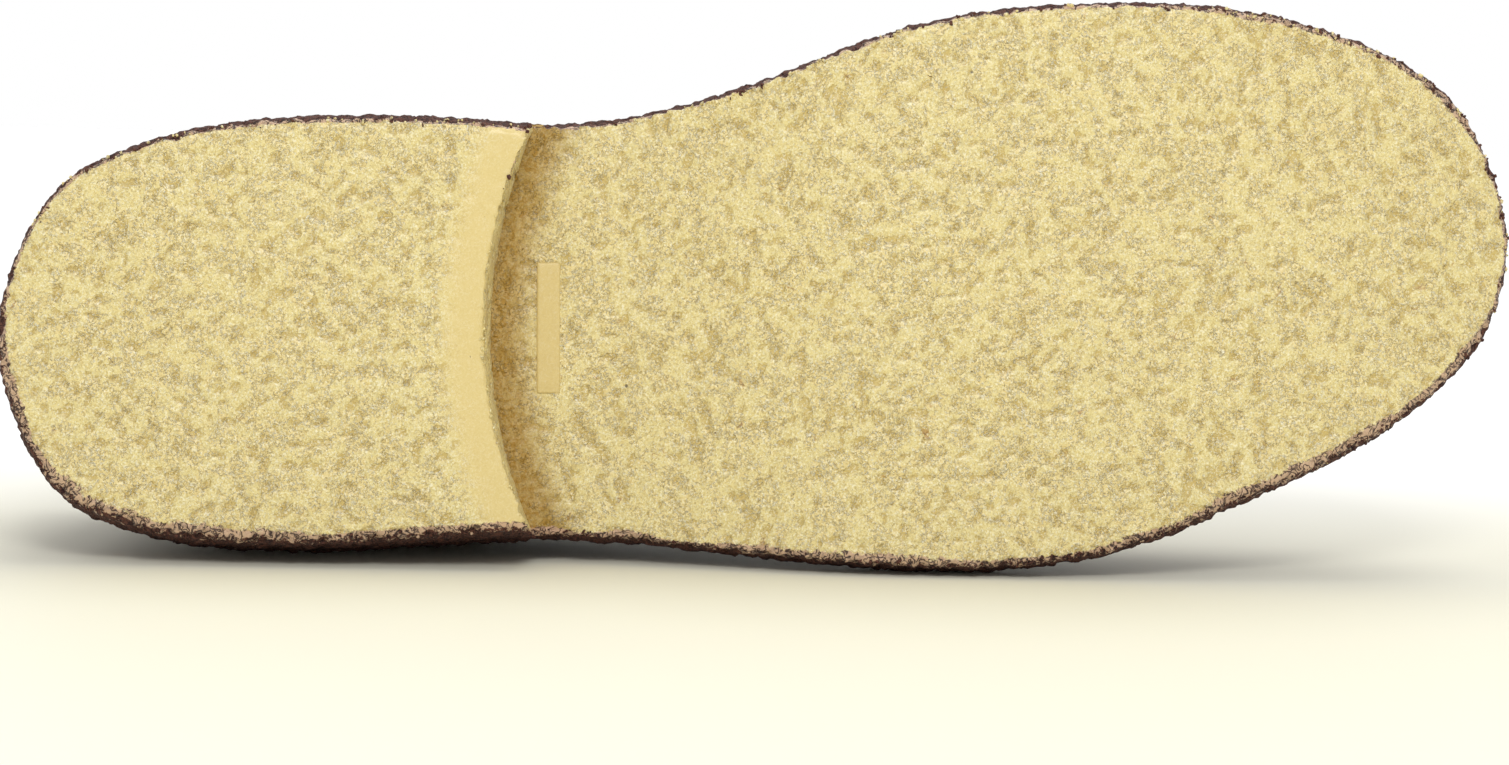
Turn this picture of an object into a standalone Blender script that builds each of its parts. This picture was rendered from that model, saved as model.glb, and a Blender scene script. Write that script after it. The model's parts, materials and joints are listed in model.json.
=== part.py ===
"""A left lace-up shoe on a crepe rubber sole, empty, lying on its outer side.

Every piece is worked out in the shoe's own standing frame, in metres: X runs from
the heel to the toe, +Y is the outer side, and Z = 0 is the plane that heel and ball
would stand on. An empty then lays the whole shoe on its outer side, sole towards -Y
and inner side up, with the sole's edge and the upper both on Z = 0.
"""

import math
from collections import namedtuple

import bmesh
import bpy
from mathutils import Matrix, Vector

# Clearance between pieces that meet
GAP = 0.0003

# Sole: lengths, widths and layers
SOLE_LENGTH = 0.300
BALL_WIDTH = 0.111
HEEL_WIDTH = 0.087
OUTSOLE_THICKNESS = 0.009
MIDSOLE_THICKNESS = 0.003
HEEL_LIFT_HEIGHT = 0.012
TOE_SPRING = 0.010
EDGE_ROUNDING = 0.0016
OUTSOLE_TAPER = 0.0010
HEEL_TAPER = 0.0016
MIDSOLE_SETBACK = 0.0005
BREAST_DEPTH = 0.0085
BREAST_SLOPE = 0.0012

# Upper: sizes of the last and of the leather
WALL = 0.0022
FLANGE_THICKNESS = 0.0020
FEATHER_INSET = 0.0066
FLANGE_SETBACK = 0.0014
QUARTER_STEP = 0.0013
STEP_RUN = 0.0005
BACK_STRIP_WIDTH = 0.016
BACK_STRIP_STEP = 0.0010
BACK_HEIGHT = 0.062
INSTEP_HEIGHT = 0.069
TOE_HEIGHT = 0.0375
COLLAR_WIDTH = 0.063
THROAT_FRONT_GAP = 0.010
THROAT_TOP_GAP = 0.023
FACING_CROWN = 0.0030

# Tongue, insole, eyelets and lace
TONGUE_THICKNESS = 0.0026
TONGUE_CLEARANCE = 0.0006
TONGUE_RISE = 0.019
INSOLE_THICKNESS = 0.0028
INSOLE_CLEARANCE = 0.0006
EYELET_SETBACK = 0.0100
EYELET_HOLE_RADIUS = 0.0022
EYELET_BARREL_WALL = 0.0005
EYELET_FLANGE = 0.0012
EYELET_FLANGE_HEIGHT = 0.0007
EYELET_SEAT = 0.0006
EYELET_FACETS = 20
LACE_RADIUS = 0.0015
LACE_DIVE = 0.0016
LACE_CLEARANCE = 0.0005

# Stations along the shoe, as shares of the sole's length
BREAST_STATION = 0.3515
HEEL_SEAT_END = 0.36
BALL_START = 0.60
SPRING_START = 0.70
THROAT_TOP_STATION = 0.405
THROAT_FRONT_STATION = 0.615
TAB_STATION = 0.645

# The sole's outline: how far it reaches to each side of the heel's centre line.
Outline = namedtuple("Outline", "along inner outer")
HEEL_OUTLINE = (  # reaches are shares of HEEL_WIDTH
    Outline(0.037, 0.325, 0.365),
    Outline(0.100, 0.443, 0.470),
    Outline(0.170, 0.492, 0.500),
    Outline(0.250, 0.503, 0.495),
    Outline(0.320, 0.493, 0.478),
)
FOREPART_OUTLINE = (  # reaches are shares of BALL_WIDTH
    Outline(0.375, 0.378, 0.371),
    Outline(0.430, 0.400, 0.381),
    Outline(0.500, 0.452, 0.402),
    Outline(0.580, 0.534, 0.419),
    Outline(0.650, 0.575, 0.422),
    Outline(0.740, 0.590, 0.387),
    Outline(0.820, 0.579, 0.299),
    Outline(0.900, 0.522, 0.198),
    Outline(0.955, 0.438, 0.090),
    Outline(0.986, 0.315, -0.014),
)
HEEL_TIP_OUTWARD = 0.012
TOE_TIP_INWARD = 0.160

# The last's centre line in plan, and the top line over facing and vamp.
Centre = namedtuple("Centre", "along inward")
CENTRE_LINE = (  # inward is a share of BALL_WIDTH
    Centre(0.00, 0.000),
    Centre(0.20, 0.002),
    Centre(0.40, 0.034),
    Centre(0.50, 0.066),
    Centre(0.62, 0.108),
    Centre(0.72, 0.138),
    Centre(0.82, 0.158),
    Centre(1.00, 0.160),
)
Ridge = namedtuple("Ridge", "along rise")
RIDGE_LINE = (  # rise runs from 0 at TOE_HEIGHT to 1 at INSTEP_HEIGHT, above the feather line
    Ridge(0.340, 1.130),
    Ridge(0.405, 1.000),
    Ridge(0.500, 0.820),
    Ridge(0.615, 0.575),
    Ridge(0.720, 0.305),
    Ridge(0.800, 0.120),
    Ridge(0.860, 0.000),
    Ridge(0.930, -0.160),
)

# Ribs that carry the upper, from the heel's back to the toe. foot is a share of the
# feather line from heel to toe, on each side. Handles are shares of BACK_HEIGHT.
CollarRib = namedtuple("CollarRib", "foot along half height inner_more lift lean drop reach")
COLLAR_RIBS = (  # half is a share of COLLAR_WIDTH, height of BACK_HEIGHT
    CollarRib(0.000, 0.046, 0.00, 1.000, 0.00, 0.34, 0.095, 0.30, 0.030),
    CollarRib(0.085, 0.064, 0.26, 0.975, 0.00, 0.34, 0.090, 0.28, 0.035),
    CollarRib(0.170, 0.115, 0.420, 0.885, 0.01, 0.33, 0.080, 0.26, 0.055),
    CollarRib(0.250, 0.195, 0.490, 0.805, 0.03, 0.34, 0.075, 0.25, 0.080),
    CollarRib(0.320, 0.290, 0.465, 0.835, 0.04, 0.40, 0.120, 0.24, 0.180),
)
# Over facing and vamp, lift and lean are shares of the rib's rise and reach of its run.
# slant is how much of its run along the shoe the rib keeps where it meets the ridge.
VampRib = namedtuple("VampRib", "foot along lift lean reach slant")
FACING_TOP = VampRib(0.375, THROAT_TOP_STATION, 0.56, 0.17, 0.46, 1.0)
FACING_TOP_FALL = math.radians(32)
VAMP_RIBS = (
    VampRib(0.485, THROAT_FRONT_STATION, 0.56, 0.06, 0.52, 0.0),
    VampRib(0.515, TAB_STATION, 0.57, 0.06, 0.53, 0.0),
    VampRib(0.620, 0.720, 0.60, 0.07, 0.56, 0.35),
    VampRib(0.725, 0.800, 0.62, 0.08, 0.57, 0.75),
    VampRib(0.805, 0.850, 0.64, 0.09, 0.58, 1.0),
    VampRib(0.900, 0.850, 0.66, 0.09, 0.58, 1.0),
    VampRib(1.000, 0.850, 0.68, 0.09, 0.58, 1.0),
)
# The tongue's free top: rise is a share of TONGUE_RISE. Width and depth are shares of the
# section under the top of the facings.
TongueTop = namedtuple("TongueTop", "rise width depth")
TONGUE_TOP = (
    TongueTop(1.00, 0.62, 0.66),
    TongueTop(0.85, 0.80, 0.78),
    TongueTop(0.55, 0.84, 0.94),
    TongueTop(0.25, 0.86, 1.04),
)

SLOT_END = len(COLLAR_RIBS) + 1
TAB_END = SLOT_END + 1
TOE_RIB = SLOT_END + len(VAMP_RIBS) - 1
POLE_RIB = TOE_RIB - 2

# How finely each stretch is divided
SPLINE_STEPS = 24
SOLE_STATIONS = 34
COLLAR_STEPS = 4
FACING_STEPS = 8
TAB_STEPS = 2
VAMP_STEPS = 3
TOE_STEPS = 4
WALL_ROWS = 9
CENTRE_ROWS = 3
BREAST_STEPS = 14

# Eyelets: how far each pair lies from the top of the facing towards the throat's end
EYELET_SHARES = (0.13, 0.47, 0.81)

# A face of the hull counts as the shoe's outer side when its normal keeps this much of +Y
SIDE_FACING = 0.8

OUTER = 1
INNER = -1
UP = Vector((0.0, 0.0, 1.0))


def clear_scene():
    for item in list(bpy.data.objects):
        bpy.data.objects.remove(item, do_unlink=True)


def make_material(name, colour, roughness, metallic=0.0):
    material = bpy.data.materials.new(name)
    material.use_nodes = True
    shader = material.node_tree.nodes["Principled BSDF"]
    shader.inputs["Base Color"].default_value = (*colour, 1.0)
    shader.inputs["Roughness"].default_value = roughness
    shader.inputs["Metallic"].default_value = metallic
    return material


def make_object(name, points, faces, material, smooth_angle=math.radians(40)):
    """An object with a clean closed mesh whose faces point outwards."""
    mesh = bpy.data.meshes.new(name)
    mesh.from_pydata([tuple(p) for p in points], [], faces)
    shape = bmesh.new()
    shape.from_mesh(mesh)
    bmesh.ops.recalc_face_normals(shape, faces=shape.faces)
    shape.to_mesh(mesh)
    shape.free()
    mesh.shade_smooth()
    mesh.set_sharp_from_angle(angle=smooth_angle)
    mesh.materials.append(material)
    item = bpy.data.objects.new(name, mesh)
    bpy.context.scene.collection.objects.link(item)
    return item


# Smooth tables and curves

def slopes(keys, values):
    """Tangents of a smooth curve through values at uneven keys."""
    last = len(keys) - 1
    found = []
    for i in range(last + 1):
        before = max(i - 1, 0)
        after = min(i + 1, last)
        found.append((values[after] - values[before]) / (keys[after] - keys[before]))
    return found


def smooth_value(keys, values, at):
    """The value at a key, on a smooth curve through the table."""
    tangents = slopes(keys, values)
    i = 0
    while i < len(keys) - 2 and at > keys[i + 1]:
        i += 1
    span = keys[i + 1] - keys[i]
    t = min(max((at - keys[i]) / span, 0.0), 1.0)
    t2 = t * t
    t3 = t2 * t
    return (
        values[i] * (2 * t3 - 3 * t2 + 1)
        + tangents[i] * (span * (t3 - 2 * t2 + t))
        + values[i + 1] * (3 * t2 - 2 * t3)
        + tangents[i + 1] * (span * (t3 - t2))
    )


def table_value(rows, column, at, key="along"):
    keys = [getattr(row, key) for row in rows]
    values = [getattr(row, column) for row in rows]
    return smooth_value(keys, values, at)


def closed_spline(corners):
    """A closed smooth curve through plan points, with tangents by chord length."""
    count = len(corners)
    chords = [(corners[(i + 1) % count] - corners[i]).length ** 0.5 for i in range(count)]
    tangents = []
    for i in range(count):
        before, after = chords[i - 1], chords[i]
        ahead = (corners[(i + 1) % count] - corners[i]) / after
        behind = (corners[i] - corners[i - 1]) / before
        tangents.append((ahead * before + behind * after) / (before + after))
    curve = []
    for i in range(count):
        start, end = corners[i], corners[(i + 1) % count]
        leave, arrive = tangents[i] * chords[i], tangents[(i + 1) % count] * chords[i]
        for step in range(SPLINE_STEPS):
            t = step / SPLINE_STEPS
            t2 = t * t
            t3 = t2 * t
            curve.append(
                start * (2 * t3 - 3 * t2 + 1) + leave * (t3 - 2 * t2 + t)
                + end * (3 * t2 - 2 * t3) + arrive * (t3 - t2)
            )
    return curve


def bezier(controls, t):
    a, b, c, d = controls
    u = 1.0 - t
    return a * u**3 + b * (3 * u * u * t) + c * (3 * u * t * t) + d * t**3


def split_bezier(controls, t):
    """The two parts of a cubic on each side of t."""
    a, b, c, d = controls
    ab, bc, cd = a.lerp(b, t), b.lerp(c, t), c.lerp(d, t)
    abc, bcd = ab.lerp(bc, t), bc.lerp(cd, t)
    middle = abc.lerp(bcd, t)
    return (a, ab, abc, middle), (middle, bcd, cd, d)


# The sole's plan and its height along the shoe

def sole_outline():
    """The sole's edge in plan, from the heel's tip along the outer side and back."""
    widths = [(row, HEEL_WIDTH) for row in HEEL_OUTLINE]
    widths += [(row, BALL_WIDTH) for row in FOREPART_OUTLINE]
    outer = [Vector((row.along * SOLE_LENGTH, row.outer * width)) for row, width in widths]
    inner = [Vector((row.along * SOLE_LENGTH, -row.inner * width)) for row, width in widths]
    heel_tip = Vector((0.0, HEEL_TIP_OUTWARD * HEEL_WIDTH))
    toe_tip = Vector((SOLE_LENGTH, -TOE_TIP_INWARD * BALL_WIDTH))
    return closed_spline([heel_tip, *outer, toe_tip, *reversed(inner)])


def inset_outline(outline, distance):
    """The outline moved inwards by a distance, square to itself."""
    count = len(outline)
    moved = []
    for i, point in enumerate(outline):
        along = (outline[(i + 1) % count] - outline[i - 1]).normalized()
        moved.append(point + Vector((along.y, -along.x)) * distance)
    return moved


def half_outline(outline, side):
    """One side of an outline, from the heel's tip to the toe's."""
    heel = min(range(len(outline)), key=lambda i: outline[i].x)
    toe = max(range(len(outline)), key=lambda i: outline[i].x)
    turned = outline[heel:] + outline[:heel]
    middle = (toe - heel) % len(outline)
    if side == OUTER:
        return turned[: middle + 1]
    return [turned[0], *reversed(turned[middle:])]


def point_at_station(half, share):
    """The plan point at a share of a half outline's own reach in X."""
    x = half[0].x + share * (half[-1].x - half[0].x)
    for a, b in zip(half, half[1:]):
        if a.x <= x <= b.x and b.x > a.x:
            return a.lerp(b, (x - a.x) / (b.x - a.x))
    return half[-1].copy() if share > 0.5 else half[0].copy()


def point_at_share(half, share):
    """The plan point at a share of a half outline's length, and its direction."""
    lengths = [0.0]
    for a, b in zip(half, half[1:]):
        lengths.append(lengths[-1] + (b - a).length)
    wanted = share * lengths[-1]
    i = 0
    while i < len(half) - 2 and lengths[i + 1] < wanted:
        i += 1
    span = lengths[i + 1] - lengths[i]
    point = half[i].lerp(half[i + 1], min(max((wanted - lengths[i]) / span, 0.0), 1.0))
    ahead = half[min(i + 3, len(half) - 1)]
    behind = half[max(i - 2, 0)]
    return point, (ahead - behind).normalized()


def tread_height(x):
    """The underside of the outsole above the plane that the shoe stands on."""
    share = x / SOLE_LENGTH
    if share <= HEEL_SEAT_END:
        return HEEL_LIFT_HEIGHT
    if share < BALL_START:
        t = (share - HEEL_SEAT_END) / (BALL_START - HEEL_SEAT_END)
        return HEEL_LIFT_HEIGHT * (1 - t * t * (3 - 2 * t))
    if share <= SPRING_START:
        return 0.0
    return TOE_SPRING * ((share - SPRING_START) / (1 - SPRING_START)) ** 2


def midsole_base(x):
    return tread_height(x) + OUTSOLE_THICKNESS + GAP


def feather_height(x):
    """Where flange and insole lie, just over the midsole."""
    return midsole_base(x) + MIDSOLE_THICKNESS + GAP


def sole_shares():
    """Stations as shares, close together at heel and toe, with the ends of flat stretches."""
    evenly = [0.5 - 0.5 * math.cos(math.pi * i / SOLE_STATIONS) for i in range(SOLE_STATIONS + 1)]
    return sorted(evenly + [HEEL_SEAT_END, BALL_START, SPRING_START])


def ring_points(outline, height):
    """A ring of 3-D points: outer side from heel to toe, then inner side back to the heel."""
    outer = [point_at_station(half_outline(outline, OUTER), s) for s in sole_shares()]
    inner = [point_at_station(half_outline(outline, INNER), s) for s in sole_shares()]
    plan = outer + inner[-2:0:-1]
    return [Vector((p.x, p.y, height(p.x))) for p in plan]


def layer(name, rings, material):
    """A closed slab through rings from the bottom up, with strips across its two faces."""
    count = len(rings[0])
    last = len(sole_shares()) - 1
    points = [p for ring in rings for p in ring]
    faces = []
    for level in range(len(rings) - 1):
        base = level * count
        for i in range(count):
            j = (i + 1) % count
            faces.append((base + i, base + j, base + count + j, base + count + i))
    for base in (0, (len(rings) - 1) * count):
        for i in range(last):
            outer = (base + i, base + i + 1)
            inner = (base + (count - i - 1) % count, base + (count - i) % count)
            corners = [*outer, *inner]
            faces.append(tuple(dict.fromkeys(corners)))
    return make_object(name, points, faces, material)


def rounded_insets(rounding):
    """Inset and rise of each ring of an edge rounded in two flats."""
    part = 1 - math.sin(math.radians(45))
    return ((rounding, 0.0), (rounding * part, rounding * part), (0.0, rounding))


def outsole(outline, material):
    """Full-length crepe, flat under the heel seat, with its lower edge rounded from the waist on."""
    edge = inset_outline(outline, OUTSOLE_TAPER)
    rings = []
    for inset, rise in rounded_insets(EDGE_ROUNDING):
        square = ring_points(inset_outline(edge, rise * 0.5), lambda x: 0.0)
        rounded = ring_points(inset_outline(edge, inset), lambda x: 0.0)
        ring = []
        for near, far in zip(square, rounded):
            share = near.x / SOLE_LENGTH
            weight = min(max((share - HEEL_SEAT_END) / (1 - BALL_START), 0.0), 1.0)
            point = near.lerp(far, weight)
            point.z = tread_height(point.x) + rise * (0.25 + 0.75 * weight)
            ring.append(point)
        rings.append(ring)
    rings.append(ring_points(outline, lambda x: tread_height(x) + OUTSOLE_THICKNESS))
    return layer("outsole", rings, material)


def breast_station(y, half_width):
    """The X of the concave heel breast at a distance from the centre line."""
    share = y / half_width
    return BREAST_STATION * SOLE_LENGTH - BREAST_DEPTH * (1 - share * share)


def lift_ring(outline, height, setback):
    """A ring of the heel lift: the sole's outline as far as the breast, closed by the breast's arc."""
    shares = [s for s in sole_shares() if s < BREAST_STATION - 0.012] + [BREAST_STATION]
    outer = [point_at_station(half_outline(outline, OUTER), s) for s in shares]
    inner = [point_at_station(half_outline(outline, INNER), s) for s in shares]
    middle = (outer[-1].y + inner[-1].y) / 2
    half_width = (outer[-1].y - inner[-1].y) / 2
    arc = []
    for i in range(BREAST_STEPS + 1):
        y = half_width * (1 - 2 * i / BREAST_STEPS)
        arc.append(Vector((breast_station(y, half_width) - setback, middle + y)))
    plan = outer[:-1] + arc + inner[-2:0:-1]
    return [Vector((p.x, p.y, height)) for p in plan]


def heel_lift(outline, material):
    """The crepe block under the heel seat, tapered downwards, with a concave breast."""
    top = HEEL_LIFT_HEIGHT - GAP
    seat = inset_outline(outline, OUTSOLE_TAPER)
    rings = []
    for inset, rise in rounded_insets(EDGE_ROUNDING):
        taper = HEEL_TAPER * (1 - rise / top)
        ring = inset_outline(seat, inset + taper)
        rings.append(lift_ring(ring, rise, BREAST_SLOPE * (1 - rise / top)))
    rings.append(lift_ring(seat, top, 0.0))
    count = len(rings[0])
    points = [p for ring in rings for p in ring]
    faces = [tuple(range(count)), tuple(range((len(rings) - 1) * count, len(rings) * count))]
    for level in range(len(rings) - 1):
        base = level * count
        for i in range(count):
            j = (i + 1) % count
            faces.append((base + i, base + j, base + count + j, base + count + i))
    return make_object("heel_lift", points, faces, material)


def slab(name, outline, base, thickness, material):
    """A flat layer with square edges that follows the sole's profile."""
    rings = [
        ring_points(outline, base),
        ring_points(outline, lambda x: base(x) + thickness),
    ]
    return layer(name, rings, material)


# The last: ribs from the feather line up to the collar, the facing's edge or the ridge

def centre_line(x):
    return -table_value(CENTRE_LINE, "inward", x / SOLE_LENGTH) * BALL_WIDTH


def ridge_height(x):
    rise = table_value(RIDGE_LINE, "rise", x / SOLE_LENGTH)
    return feather_height(x) + TOE_HEIGHT + (INSTEP_HEIGHT - TOE_HEIGHT) * rise


def ridge_slope(x, step=0.001):
    return (ridge_height(x + step) - ridge_height(x - step)) / (2 * step)


def throat_half_gap(x):
    """Half the gap between the facings, which opens towards the top."""
    start, end = THROAT_TOP_STATION * SOLE_LENGTH, THROAT_FRONT_STATION * SOLE_LENGTH
    t = min(max((x - start) / (end - start), 0.0), 1.0)
    return (THROAT_TOP_GAP + (THROAT_FRONT_GAP - THROAT_TOP_GAP) * t) / 2


class Last:
    """The upper's outer face on one side, as a cubic rib for each position along the shoe."""

    def __init__(self, outline, side):
        self.side = side
        self.half = half_outline(inset_outline(outline, FEATHER_INSET), side)
        split = [self.split(position) for position in (SLOT_END, TAB_END)]
        rows = [self.collar_row(i) for i in range(len(COLLAR_RIBS))]
        rows.append(self.facing_row())
        rows += [(p[1] - p[0], p[2] - p[3]) for p, _ in split]
        self.handles = rows
        end = split[0][0][3]
        self.crown_at_slot = ridge_height(end.x) - end.z

    def foot(self, share):
        """The foot of a rib on the flange's top, and the direction out of the shoe there."""
        point, along = point_at_share(self.half, share)
        outward = Vector((-along.y, along.x, 0.0)) * self.side
        height = feather_height(point.x) + FLANGE_THICKNESS
        return Vector((point.x, point.y, height)), outward

    def foot_share(self, position):
        feet = [row.foot for row in (*COLLAR_RIBS, FACING_TOP, *VAMP_RIBS)]
        return smooth_value(list(range(len(feet))), feet, position)

    def collar_point(self, i):
        row = COLLAR_RIBS[i]
        x = row.along * SOLE_LENGTH
        more = row.inner_more if self.side == INNER else 0.0
        y = centre_line(x) + self.side * row.half * COLLAR_WIDTH
        return Vector((x, y, feather_height(x) + (row.height + more) * BACK_HEIGHT))

    def collar_row(self, i):
        row = COLLAR_RIBS[i]
        _, outward = self.foot(row.foot)
        start = (UP * row.lift + outward * row.lean) * BACK_HEIGHT
        end = (outward * row.reach - UP * row.drop) * BACK_HEIGHT
        return start, end

    def facing_row(self):
        foot, outward = self.foot(FACING_TOP.foot)
        top = self.facing_point(THROAT_TOP_STATION * SOLE_LENGTH, 0.0)
        rise = top.z - foot.z
        run = Vector((foot.x - top.x, foot.y - top.y, 0.0))
        start = (UP * FACING_TOP.lift + outward * FACING_TOP.lean) * rise
        fall = UP * (math.sin(FACING_TOP_FALL) * run.length)
        end = (run * math.cos(FACING_TOP_FALL) - fall) * FACING_TOP.reach
        return start, end

    def facing_point(self, x, crown):
        y = centre_line(x) + self.side * throat_half_gap(x)
        return Vector((x, y, ridge_height(x) - FACING_CROWN - crown))

    def full_rib(self, position):
        """A rib over the vamp, from the feather line to the ridge."""
        keys = list(range(SLOT_END, TOE_RIB + 1))
        row = VampRib(*(smooth_value(keys, list(column), position) for column in zip(*VAMP_RIBS)))
        foot, outward = self.foot(row.foot)
        x = row.along * SOLE_LENGTH
        if position >= POLE_RIB:
            x = VAMP_RIBS[-1].along * SOLE_LENGTH
        top = Vector((x, centre_line(x), ridge_height(x)))
        rise = top.z - foot.z
        run = Vector(((foot.x - top.x) * row.slant, foot.y - top.y, 0.0))
        run.z = ridge_slope(x) * run.x
        leave = foot + (UP * row.lift + outward * row.lean) * rise
        return foot, leave, top + run * row.reach, top

    def split(self, position):
        """A vamp rib cut where it passes under the edge of the facing's tab."""
        rib = self.full_rib(position)
        wanted = throat_half_gap(rib[3].x)
        low, high = 0.3, 1.0
        for _ in range(30):
            middle = (low + high) / 2
            near = bezier(rib, middle) - rib[3]
            if math.hypot(near.x, near.y) > wanted:
                low = middle
            else:
                high = middle
        return split_bezier(rib, low)

    def wall_rib(self, position):
        """The rib up to the collar or to the facing's edge."""
        if position >= SLOT_END:
            return self.split(position)[0]
        keys = list(range(len(self.handles)))
        start = smooth_value(keys, [row[0] for row in self.handles], position)
        end = smooth_value(keys, [row[1] for row in self.handles], position)
        foot, _ = self.foot(self.foot_share(position))
        facing = len(COLLAR_RIBS)
        if position <= facing:
            tops = [self.collar_point(i) for i in range(facing)]
            tops.append(self.facing_point(THROAT_TOP_STATION * SOLE_LENGTH, 0.0))
            top = smooth_value(list(range(facing + 1)), tops, position)
        else:
            t = position - facing
            station = THROAT_TOP_STATION + t * (THROAT_FRONT_STATION - THROAT_TOP_STATION)
            crown = t * (self.crown_at_slot - FACING_CROWN)
            top = self.facing_point(station * SOLE_LENGTH, crown)
        return foot, foot + start, top + end, top

    def outward_normal(self, position, t):
        """The outer face's normal, pointing out of the shoe."""
        step = 0.02
        across = bezier(self.wall_rib(position + step), t) - bezier(self.wall_rib(position - step), t)
        rib = self.wall_rib(position)
        up = bezier(rib, min(t + step, 1.0)) - bezier(rib, t - step)
        normal = across.cross(up).normalized()
        inside = Vector((rib[3].x, centre_line(rib[3].x), feather_height(rib[3].x)))
        return normal if normal.dot(bezier(rib, t) - inside) > 0 else -normal


def rib_positions():
    """Every rib's position from the heel's back to the toe, with pairs where the wall steps."""
    spans = [COLLAR_STEPS] * len(COLLAR_RIBS) + [FACING_STEPS, TAB_STEPS]
    spans += [VAMP_STEPS] * (POLE_RIB - TAB_END) + [TOE_STEPS] * (TOE_RIB - POLE_RIB)
    positions = [i + step / count for i, count in enumerate(spans) for step in range(count)]
    positions.append(float(TOE_RIB))
    return positions


def position_of_length(last, start, length):
    """The rib position that lies a length along the feather line from another."""
    total = sum((b - a).length for a, b in zip(last.half, last.half[1:]))
    wanted = last.foot_share(start) + length / total
    low, high = min(start, start + math.copysign(1, length)), max(start, start + math.copysign(1, length))
    for _ in range(30):
        middle = (low + high) / 2
        if last.foot_share(middle) < wanted:
            low = middle
        else:
            high = middle
    return low


class Sheet:
    """The upper's outer face as one sheet of points, with how far each is raised."""

    def __init__(self):
        self.points = []
        self.raised = []
        self.fixed_inner = {}
        self.faces = []
        self.flange_faces = []

    def add(self, point, raised=0.0):
        self.points.append(point)
        self.raised.append(raised)
        return len(self.points) - 1

    def normals(self):
        """Vertex normals of the wall, weighted by area, pointing out of the shoe."""
        found = [Vector((0.0, 0.0, 0.0)) for _ in self.points]
        for face in self.faces:
            a, b, c = (self.points[face[i]] for i in range(3))
            square = (b - a).cross(c - a)
            if len(face) == 4:
                square += (c - a).cross(self.points[face[3]] - a)
            for i in face:
                found[i] += square
        return [n.normalized() for n in found]


def upper_sheet(lasts):
    """Ribs of both sides joined over the vamp, with the flange turned out at the foot."""
    sheet = Sheet()
    strip = position_of_length(lasts[OUTER], 0.0, BACK_STRIP_WIDTH / 2)
    strip_end = position_of_length(lasts[OUTER], 0.0, BACK_STRIP_WIDTH / 2 + STEP_RUN)
    tab_start = position_of_length(lasts[OUTER], TAB_END, -STEP_RUN)
    positions = sorted(rib_positions() + [strip, strip_end, tab_start])
    shared = {}
    columns = {}
    for side in (OUTER, INNER):
        last = lasts[side]
        for position in positions:
            seam = position in (0.0, float(TOE_RIB))
            if seam and side == INNER:
                columns[side, position] = columns[OUTER, position]
                continue
            wall = last.wall_rib(position)
            raised = QUARTER_STEP if position <= tab_start else 0.0
            if position <= strip:
                raised = QUARTER_STEP + BACK_STRIP_STEP
            foot, outward = last.foot(last.foot_share(position))
            edge = foot + outward * (FEATHER_INSET - FLANGE_SETBACK)
            edge.z = feather_height(edge.x)
            floor = edge.copy()
            edge.z += FLANGE_THICKNESS
            flange = sheet.add(edge)
            sheet.fixed_inner[flange] = floor
            column = [flange]
            for row in range(WALL_ROWS + 1):
                column.append(sheet.add(bezier(wall, row / WALL_ROWS), raised))
            base = foot - outward * WALL
            base.z = feather_height(base.x)
            sheet.fixed_inner[column[1]] = base
            centre = []
            if position >= SLOT_END:
                rib = last.split(position)[1]
                length = (rib[3] - rib[0]).length
                for row in range(CENTRE_ROWS):
                    t = max(row / CENTRE_ROWS, STEP_RUN / length)
                    centre.append(sheet.add(bezier(rib, t)))
                key = min(position, POLE_RIB)
                if key not in shared:
                    shared[key] = sheet.add(rib[3])
                centre.append(shared[key])
            columns[side, position] = (column, centre)
    for side in (OUTER, INNER):
        for left, right in zip(positions, positions[1:]):
            join_columns(sheet, columns[side, left], columns[side, right], side)
    return sheet, columns, positions


def join_columns(sheet, left, right, side):
    """Faces between two ribs, wound so that they point out of the shoe."""
    def face(corners, where):
        corners = tuple(dict.fromkeys(corners))
        if len(corners) > 2:
            where.append(corners if side == OUTER else corners[::-1])

    (a, a_centre), (b, b_centre) = left, right
    for row in range(len(a) - 1):
        where = sheet.flange_faces if row == 0 else sheet.faces
        face((a[row], a[row + 1], b[row + 1], b[row]), where)
    if a_centre and b_centre:
        across_a = [a[-1], *a_centre]
        across_b = [b[-1], *b_centre]
        for row in range(len(across_a) - 1):
            face((across_a[row], across_a[row + 1], across_b[row + 1], across_b[row]), sheet.faces)


def thicken(sheet):
    """The sheet as a closed wall: outer face, inner face and the rims between them."""
    normals = sheet.normals()
    count = len(sheet.points)
    outer = [p + n * r for p, n, r in zip(sheet.points, normals, sheet.raised)]
    inner = [p - n * WALL for p, n in zip(sheet.points, normals)]
    for i, point in sheet.fixed_inner.items():
        outer[i] = sheet.points[i]
        inner[i] = point
    faces = sheet.faces + sheet.flange_faces
    edges = {}
    for face in faces:
        for a, b in zip(face, face[1:] + face[:1]):
            edges[a, b] = True
    rims = [(b, a, a + count, b + count) for a, b in edges if (b, a) not in edges]
    turned = [tuple(i + count for i in reversed(face)) for face in faces]
    return outer + inner, faces + turned + rims


def upper(lasts, material):
    """One hollow wall with its flange, quarters raised over the vamp, and a raised back strip."""
    sheet, _, _ = upper_sheet(lasts)
    points, faces = thicken(sheet)
    return make_object("upper", points, faces, material, math.radians(50))


# Tongue, eyelets and lace

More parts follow.
